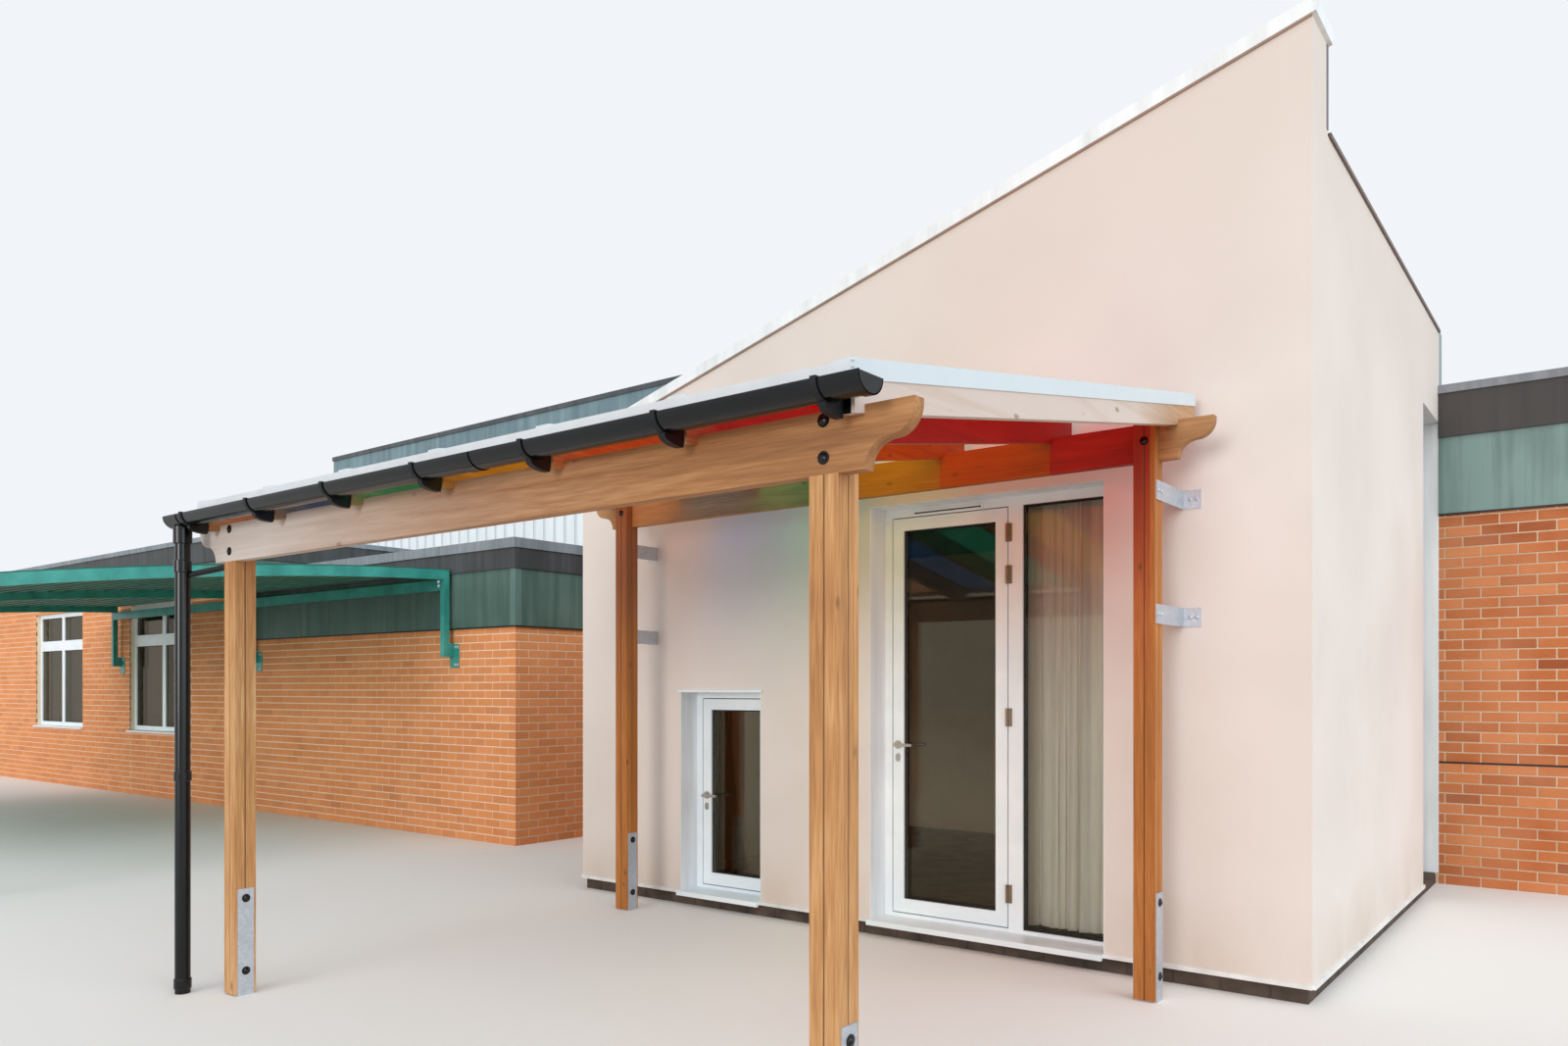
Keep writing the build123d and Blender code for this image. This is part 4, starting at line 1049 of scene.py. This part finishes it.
# Head flashing over the low door
headFlashing = {"from": -1.484, "to": -0.763, "top": 1.431, "bottom": 1.413, "reach": 0.014, "gauge": 0.003}
wallFace = -1.995
gauge, flashTop, flashLow = (headFlashing[key] for key in ("gauge", "top", "bottom"))
lip = wallFace - headFlashing["reach"]
outline = [(wallFace + tuck, flashTop), (lip, flashTop - gauge), (lip, flashLow)]
outline += [(lip + gauge, flashLow), (lip + gauge, flashTop - 2 * gauge), (wallFace + tuck, flashTop - gauge)]
flashEnds = (headFlashing["from"], headFlashing["to"])
prismPiece("smallDoorFlashing", sidePlace, outline, *flashEnds, whiteSurface, "pale_metal")

# Thin brown line under the raking coping: a strip painted as the shadow under the coping's overhang
rakeLine = {"pitch": 15, "half": 2.430, "topAtRight": 4.487, "under": 0.006, "over": 0.004, "proud": 0.012}
half, rightTop, under, over = (rakeLine[key] for key in ("half", "topAtRight", "under", "over"))
leftTop = rightTop - tan(radians(rakeLine["pitch"])) * 2 * half
outline = [(-half, leftTop - under), (half, rightTop - under), (half, rightTop + over), (-half, leftTop + over)]
lineDepths = (wallFace - rakeLine["proud"], wallFace + tuck)
copingShadowBrown = coatedMetal("paintedShadowBrown", (168, 142, 126), 0.5)
prismPiece("copingShadowLine", frontPlace, outline, *lineDepths, copingShadowBrown, "brown_trim")
print("door and coping trims done")

# Dark trim down the back edge of the front wall, where it stands above the side wall
parapetTrim = {"x": 2.430, "y": -1.685, "from": 4.085, "to": 4.482, "leg": 0.028, "gauge": 0.003}
x, y, leg, gauge = (parapetTrim[key] for key in ("x", "y", "leg", "gauge"))
outline = [(x - tuck, y - leg), (x + gauge, y - leg), (x + gauge, y + gauge)]
outline += [(x - leg, y + gauge), (x - leg, y - tuck), (x - tuck, y - tuck)]
darkTrim = coatedMetal("parapetTrimGrey", (92, 96, 102), 0.45)
prismPiece("parapetTrim", upPlace, outline, parapetTrim["from"], parapetTrim["to"], darkTrim, "brown_trim")

# Bolts: black domed caps on the timber, zinc ones on the galvanised plates
timberBolts = {
    "Radius": 0.0155,
    "Rise": 0.011,
    "Washer": 0.006,
    "Tone Seed": 5,
    "beams": ((-4.9050, 2.082), (-4.9050, 2.186), (-2.3850, 2.576)),  # (Y, Z) at every post
    "shoes": (0.455, 0.115),
    "shoeFace": 0.056,
}
plateBolts = {
    "Radius": 0.010,
    "Rise": 0.008,
    "Washer": 0.004,
    "Tone Seed": 6,
    "heights": (1.781, 2.349),
    "wallPlates": (1.888, 1.918, -1.718, -1.748),  # X on the wall
    "wallFace": -2.001,
    "postPlates": (-2.352, -2.312),  # Y on the posts
    "postFaces": (1.856, -1.686),
}
boltSpots = [((x, y, z), facingFront, even) for y, z in timberBolts["beams"] for x in posts["x"]]
for x in posts["x"]:
    for y in posts["y"]:
        for z in timberBolts["shoes"]:
            boltSpots.append(((x + timberBolts["shoeFace"], y, z), facingRight, even))
            boltSpots.append(((x - timberBolts["shoeFace"], y, z), facingLeft, even))
setOut("boltCaps", caps, boltSpots, timberBolts, glossBlack)

plateSpots = []
for z in plateBolts["heights"]:
    plateSpots += [((x, plateBolts["wallFace"], z), facingFront, even) for x in plateBolts["wallPlates"]]
    for y in plateBolts["postPlates"]:
        for x, turn in zip(plateBolts["postFaces"], (facingRight, facingLeft)):
            plateSpots.append(((x, y, z), turn, even))
setOut("bracketBolts", caps, plateSpots, plateBolts, galvanised)
print("bolts set,", len(boltSpots) + len(plateSpots))

# Screws with sealing washers along the roof's glazing bars
barScrews = {
    "Radius": 0.006,
    "Rise": 0.005,
    "Washer": 0.003,
    "Tone Seed": 7,
    "pitch": 10,
    "count": 9,
    "bars": (-1.135, -0.525, 0.085, 0.695, 1.305, -1.757, 1.927),
    "first": -4.90,
    "run": 2.74,
    "ridge": (-2.095, 2.8290),  # Y and Z of the bars' tops
}
tilt = radians(barScrews["pitch"])
ridgeY, ridgeTop = barScrews["ridge"]
screwSpots = []
for x in barScrews["bars"]:
    for i in range(barScrews["count"]):
        y = barScrews["first"] + barScrews["run"] * i / (barScrews["count"] - 1)
        screwSpots.append(((x, y, ridgeTop - tan(tilt) * (ridgeY - y)), (tilt, 0, 0), even))
setOut("barScrews", caps, screwSpots, barScrews, galvanised)

# Gutter: a half-round trough on the clips, with stop-ends, straps and an arm at every rafter
gutter = {
    "middle": -5.020,
    "top": 2.250,
    "halfWidth": 0.056,
    "drop": 0.051,
    "gauge": 0.0032,
    "from": -1.920,
    "to": 2.030,
    "steps": 28,
    "stopEnd": 0.022,
    "cap": 0.003,
    "bead": 0.004,
    "beadSides": 12,
    "swell": 0.0035,  # how far stop-ends and unions stand out from the trough
    "strapSwell": 0.005,
    "strap": 0.020,
    "hook": (0.012, 0.004, 0.007),  # its reach over the front lip, fall and rise
    "strapsAt": [-1.745, -1.135, -0.525, 0.085, 0.695, 1.305, 1.890],
    "unionsAt": [(-1.848, 0.105), (0.390, 0.060)],
    "clipFace": -4.9575,
    "armWidth": 0.027,
    "armFoot": 2.166,
    "armSteps": 8,
    "armFall": 0.015,
    "armSunk": 0.012,
    "armGap": 0.006,
    "bellyFrom": 0.020,
}
gutterMiddle, gutterTop = gutter["middle"], gutter["top"]
gutterStart, gutterEnd, cap = gutter["from"], gutter["to"], gutter["cap"]
frontLip = gutterMiddle - gutter["halfWidth"]


def troughLine(grow):
    # The trough's outer curve from the back lip down and up to the front lip
    spots = []
    for i in range(gutter["steps"] + 1):
        angle = pi * i / gutter["steps"]
        along = cos(angle) * (gutter["halfWidth"] + grow)
        spots.append((gutterMiddle + along, gutterTop - sin(angle) * (gutter["drop"] + grow)))
    return spots


def addTrough(shape, start, end, outer, inner=-tuck):
    addPrism(shape, sidePlace, troughLine(outer) + troughLine(inner)[::-1], start, end)


trough = bmesh.new()
addTrough(trough, gutterStart, gutterEnd, 0.0, -gutter["gauge"])
bead = [(frontLip + gutter["bead"] + u, gutterTop + v) for u, v in circle(gutter["bead"], gutter["beadSides"])]
addPrism(trough, sidePlace, bead, gutterStart, gutterEnd)
addTrough(trough, gutterStart - cap, gutterStart + gutter["stopEnd"], gutter["swell"])
addTrough(trough, gutterEnd - gutter["stopEnd"], gutterEnd + cap, gutter["swell"])
for x in (gutterStart - cap, gutterEnd):
    addPrism(trough, sidePlace, troughLine(gutter["swell"] - 0.0005), x, x + cap)
for x, width in gutter["unionsAt"]:
    addTrough(trough, x - width / 2, x + width / 2, gutter["swell"])
gutterPiece = finishPiece("halfRoundGutter", trough, glossBlack)
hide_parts("canopy_gutter")


def armOutline():
    # A bracket's arm from the clip's face under the trough, curved below and cut to the trough above
    face, foot, reach = gutter["clipFace"], gutter["armFoot"], gutterMiddle - gutter["bellyFrom"]
    belly = [(y, z) for y, z in troughLine(gutter["bead"]) if y > reach]
    sunk, depth = gutter["armSunk"], belly[-1][1] - gutter["armGap"] - foot
    arm = [(face, gutterTop - gutter["armFall"]), (face, foot)]
    for i in range(gutter["armSteps"] + 1):
        angle = radians(90 * i / gutter["armSteps"])
        arm.append((face - sunk + (reach - face + sunk) * sin(angle), foot + depth * (1 - cos(angle))))
    return arm + belly[::-1]


reach, fall, rise = gutter["hook"]
hookBack, hookFront = frontLip + reach, frontLip - gutter["strapSwell"]
hookLow, hookHigh = gutterTop - fall, gutterTop + rise
hook = [(hookFront, hookLow), (hookFront, hookHigh), (hookBack, hookHigh), (hookBack, hookLow)]
straps = bmesh.new()
for x in gutter["strapsAt"]:
    start, end = x - gutter["strap"] / 2, x + gutter["strap"] / 2
    addTrough(straps, start, end, gutter["strapSwell"])
    addPrism(straps, sidePlace, hook, start, end)
    addPrism(straps, sidePlace, armOutline(), x - gutter["armWidth"] / 2, x + gutter["armWidth"] / 2)
finishPiece("gutterStraps", straps, dullBlack)

# Edge profile: a pale channel over the sheets' lower ends
edgeProfile = {
    "from": -1.776,
    "to": 1.946,
    "front": -4.986,
    "back": -4.962,
    "gauge": 0.0016,
    "pitch": 10,
    "sheetAt": (-4.9, 2.3258),
    "sheet": 0.018,
    "drip": (0.030, 0.002),
}


def sheetTop(y):
    return edgeProfile["sheetAt"][1] + tan(radians(edgeProfile["pitch"])) * (y - edgeProfile["sheetAt"][0])


front, back, gauge, sheet = (edgeProfile[key] for key in ("front", "back", "gauge", "sheet"))
dripDrop, dripThick = edgeProfile["drip"]
outline = [
    (back, sheetTop(back) + gauge),
    (front, sheetTop(front) + gauge),
    (front, sheetTop(front) - dripDrop),
    (front + dripThick, sheetTop(front) - dripDrop),
    (front + dripThick, sheetTop(front) - sheet),
    (back, sheetTop(back) - sheet),
    (back, sheetTop(back) - sheet + gauge),
    (front + gauge, sheetTop(front) - sheet + gauge),
    (front + gauge, sheetTop(front)),
    (back, sheetTop(back)),
]
edgeMetal = coatedMetal("edgeMetal", (222, 226, 230), 0.35, 0.03)
edgeEnds = (edgeProfile["from"], edgeProfile["to"])
prismPiece("sheetEdgeProfile", sidePlace, outline, *edgeEnds, edgeMetal, "pale_metal")

# Downpipe fittings: outlet, socket, shoe band and the arm that steadies it on the post
pipeFittings = {
    "centre": (-1.848, -5.020),
    "radius": 0.034,
    "sides": 28,
    "collars": [  # from, to and how far they stand out
        (2.120, 2.206, 0.0070),
        (1.985, 2.045, 0.0045),
        (1.000, 1.050, 0.0045),
        (0.020, 0.070, 0.0045),
    ],
    "soft": (0.004, 0.003),  # height and inset of their rims
    "arm": ((-1.835, -5.000, 1.975), (-1.672, -4.868, 2.020), 0.015),
}
fittings = bmesh.new()
pipeX, pipeY = pipeFittings["centre"]
rise, inset = pipeFittings["soft"]
for low, high, swell in pipeFittings["collars"]:
    radius = pipeFittings["radius"] + swell
    heights = [(low, radius - inset), (low + rise, radius), (high - rise, radius), (high, radius - inset)]
    addRod(fittings, [[(pipeX + u, pipeY + v, z) for u, v in circle(r, pipeFittings["sides"])] for z, r in heights])
addTube(fittings, *pipeFittings["arm"])
finishPiece("downpipeFittings", fittings, glossBlack)
print("rainwater fittings done")

# Curtain behind the side light: gathered cloth on a rail inside the wall
curtain = {
    "from": 0.850,
    "to": 1.325,
    "middle": -1.640,
    "top": 2.545,
    "bottom": 0.110,
    "folds": 6,
    "waves": [(0.060, 1.6, 0.6, 0.5), (0.020, 3.7, 2.0, 0.4)],  # size, count, start, lean
    "depth": 0.036,
    "steps": 216,
    "rows": 18,
}
curtainRail = {
    "height": 2.552,
    "ends": (0.10, 1.56),
    "radius": 0.010,
    "arms": (0.12, 0.82, 1.54),
    "armRadius": 0.007,
    "armSides": 12,
    "wall": -1.6855,
}


def curtainMaterial():
    material, tree, surface = newMaterial("greyCurtain", 0.95)
    surface.inputs["Sheen Weight"].default_value = 0.25
    surface.inputs["Sheen Roughness"].default_value = 0.5
    sockets = {"Vector": objectSpot(tree), "Scale": 220.0}
    weave = addNode(tree, "ShaderNodeTexWave", sockets, bands_direction="Z").outputs["Fac"]
    mixed = weigh(tree, weave, 0.3, cloud(tree, 1.0, 4, (60, 60, 4)))
    paint(tree, surface, fade(tree, mixed, 0.3, 0.7), (238, 228, 214), (255, 250, 241))
    bump(tree, surface, weave, 0.0006, 0.5)
    return material


def curtainSpot(share, down):
    # Where the cloth hangs: share runs along the rail, down from the top to the hem
    turns = 2 * pi * share
    drift = sum(size * sin(turns * count + start + lean * down) for size, count, start, lean in curtain["waves"])
    phase = 2 * pi * curtain["folds"] * (share + drift)
    swing = curtain["depth"] * (0.60 + 0.14 * down + 0.26 * sin(9 * share + 1.2 * down))
    x = curtain["from"] + (curtain["to"] - curtain["from"]) * share + 0.010 * sin(phase * 2 + 1.1) * down
    y = curtain["middle"] + swing * sin(phase) + 0.004 * sin(3.1 * phase + 2.0 * down)
    return (x, y, curtain["top"] + (curtain["bottom"] - curtain["top"]) * down)


def makeCurtain():
    shape = bmesh.new()
    shares = [step / curtain["steps"] for step in range(curtain["steps"] + 1)]
    downs = [row / curtain["rows"] for row in range(curtain["rows"] + 1)]
    grid = [[shape.verts.new(curtainSpot(share, down)) for share in shares] for down in downs]
    for upper, lower in zip(grid, grid[1:]):
        for i in range(curtain["steps"]):
            shape.faces.new((upper[i], upper[i + 1], lower[i + 1], lower[i]))
    area = sum(face.calc_area() for face in shape.faces)
    mesh = bpy.data.meshes.new("curtain")
    shape.to_mesh(mesh)
    shape.free()
    for polygon in mesh.polygons:
        polygon.use_smooth = True
    mesh.materials.append(curtainMaterial())
    return addObject("curtain", mesh), area


cloth, clothArea = makeCurtain()
rail = bmesh.new()
railStart, railEnd = [(x, curtain["middle"], curtainRail["height"]) for x in curtainRail["ends"]]
addTube(rail, railStart, railEnd, curtainRail["radius"])
for x in curtainRail["arms"]:
    armStart, armEnd = [(x, y, curtainRail["height"]) for y in (curtainRail["wall"], curtain["middle"])]
    addTube(rail, armStart, armEnd, curtainRail["armRadius"], curtainRail["armSides"])
finishPiece("curtainRail", rail, whiteSurface)
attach(cloth, "building")
print("curtain hung")

# Ribs under the green canopy's bowed sheets, and their bolts
greenRibs = {
    "bays": [(-12.975, -9.260), (-9.200, -5.485)],
    "wall": -1.0,
    "back": -1.06,
    "front": -4.96,
    "count": 24,
    "topAtWall": 2.580,
    "fall": 0.03025,
    "bow": 0.016125,
    "sheet": 0.010,
    "Depth": 0.016,
    "Height": 0.030,
    "Chamfer": 0.004,
    "Tone Seed": 9,
}
fall, bow = greenRibs["fall"], greenRibs["bow"]
ribSpots = []
for start, end in greenRibs["bays"]:
    for i in range(greenRibs["count"]):
        y = greenRibs["back"] + (greenRibs["front"] - greenRibs["back"]) * i / (greenRibs["count"] - 1)
        out = greenRibs["wall"] - y
        z = greenRibs["topAtWall"] - fall * out - bow * out * out
        z -= greenRibs["sheet"] + greenRibs["Depth"] / 2 - tuck
        ribSpots.append((((start + end) / 2, y, z), (radians(90) + atan(fall + 2 * bow * out), 0, 0), even))
ribSizes = {**greenRibs, "Length": greenRibs["bays"][0][1] - greenRibs["bays"][0][0]}
setOut("greenCanopyRibs", blocks, ribSpots, ribSizes, greenRibMetal)

greenBolts = {
    "Radius": 0.012,
    "Rise": 0.010,
    "Washer": 0.005,
    "Tone Seed": 10,
    "legs": (-13.005, -9.230, -5.455),
    "legHeights": (1.665, 1.835),
    "legReach": (0.052, 0.090),
    "legFace": -0.950,
    "end": [(2.45, -1.12), (2.41, -1.12), (2.12, -4.93), (2.09, -4.97)],
    "endFace": -5.425,
}
greenSpots = []
for x in greenBolts["legs"]:
    for z in greenBolts["legHeights"]:
        greenSpots += [((x + out, greenBolts["legFace"], z), facingFront, even) for out in greenBolts["legReach"]]
greenSpots += [((greenBolts["endFace"], y, z), facingRight, even) for z, y in greenBolts["end"]]
setOut("greenCanopyBolts", caps, greenSpots, greenBolts, galvanised)
print("green canopy ribs and bolts done")

# Laps of the roof felt, one about every metre
feltLaps = {
    "Length": 1.0,
    "Depth": 0.005,
    "Height": 0.07,
    "Chamfer": 0.0015,
    "Tone Seed": 13,
    "spacing": 1.0,
    "lift": 0.002,
    "short": 0.02,
}
flatRoofs = [  # from and to along X, from and to along Y, top
    (-4.51, 4.52, 2.305, 6.685, 3.520),
    (-9.62, -4.82, -0.63, 1.995, 2.642),
    (-17.49, -12.535, -0.63, 6.685, 3.180),
    (-12.535, -9.93, -0.63, 1.995, 3.180),
    (-12.335, -5.08, 2.195, 6.425, 4.914),
]
lapSpots = []
for left, right, near, far, height in flatRoofs:
    count = int((far - near) / feltLaps["spacing"])
    for i in range(count):
        place = ((left + right) / 2, near + (i + 0.5) * (far - near) / count, height + feltLaps["lift"])
        lapSpots.append((place, (radians(-90), 0, 0), (right - left - feltLaps["short"], 1, 1)))
setOut("roofLaps", blocks, lapSpots, feltLaps, feltSurface)

blockSeams = {"from": -2.40, "to": 2.11, "topAtRight": 4.040, "right": 2.12, "pitch": 15, "spots": (-0.95, 0.0, 0.95)}
slant = radians(blockSeams["pitch"])
seamLength = (blockSeams["to"] - blockSeams["from"]) / cos(slant)
x = (blockSeams["from"] + blockSeams["to"]) / 2
z = blockSeams["topAtRight"] - tan(slant) * (blockSeams["right"] - x) + feltLaps["lift"]
seamSpots = [((x, y, z), (radians(-90), -slant, 0), (seamLength, 1, 1)) for y in blockSeams["spots"]]
setOut("blockRoofSeams", blocks, seamSpots, feltLaps, feltSurface)
print("roof laps done")

# Corner trim of the low wing's green band
cornerTrim = {"corner": (-4.510, -0.940), "reach": 0.028, "leg": 0.045, "gauge": 0.004, "bottom": 2.013, "top": 2.537}
reach, leg, gauge = (cornerTrim[key] for key in ("reach", "leg", "gauge"))
x, y = cornerTrim["corner"]
outline = [(x - leg, y - reach), (x + reach, y - reach), (x + reach, y + leg)]
outline += [(x + reach - gauge, y + leg), (x + reach - gauge, y - reach + gauge), (x - leg, y - reach + gauge)]
cornerMetal = coatedMetal("cornerGreen", (92, 122, 115), 0.45)
cornerHeights = (cornerTrim["bottom"], cornerTrim["top"])
prismPiece("lowWingCorner", upPlace, outline, *cornerHeights, cornerMetal, "green_panel")

# Dark drip line under each green band
dripLine = {"height": 0.012, "reach": 0.030, "gap": 0.0005, "past": 0.002, "lowEnd": 1.990, "rearEnd": 6.990}
reach, past = dripLine["reach"], dripLine["past"]
strips = [
    (party, lowRight + reach, leftFront - reach, leftFront + tuck, lowTop),
    (wings["farLeft"] - reach, party, leftFront - reach, leftFront + tuck, wingTop),
    (lowRight - tuck, lowRight + reach, leftFront + past, dripLine["lowEnd"], lowTop),
    (wings["blockSide"], rearRight + reach, rearFront - reach, rearFront + tuck, wingTop),
    (rearRight - tuck, rearRight + reach, rearFront + past, dripLine["rearEnd"], wingTop),
]
drip = bmesh.new()
for x1, x2, y1, y2, z in strips:
    outline = [(x1, y1), (x2, y1), (x2, y2), (x1, y2)]
    addPrism(drip, upPlace, outline, z - dripLine["height"], z - dripLine["gap"])
finishPiece("bandDrips", drip, dullBlack)
print("wing trims done")
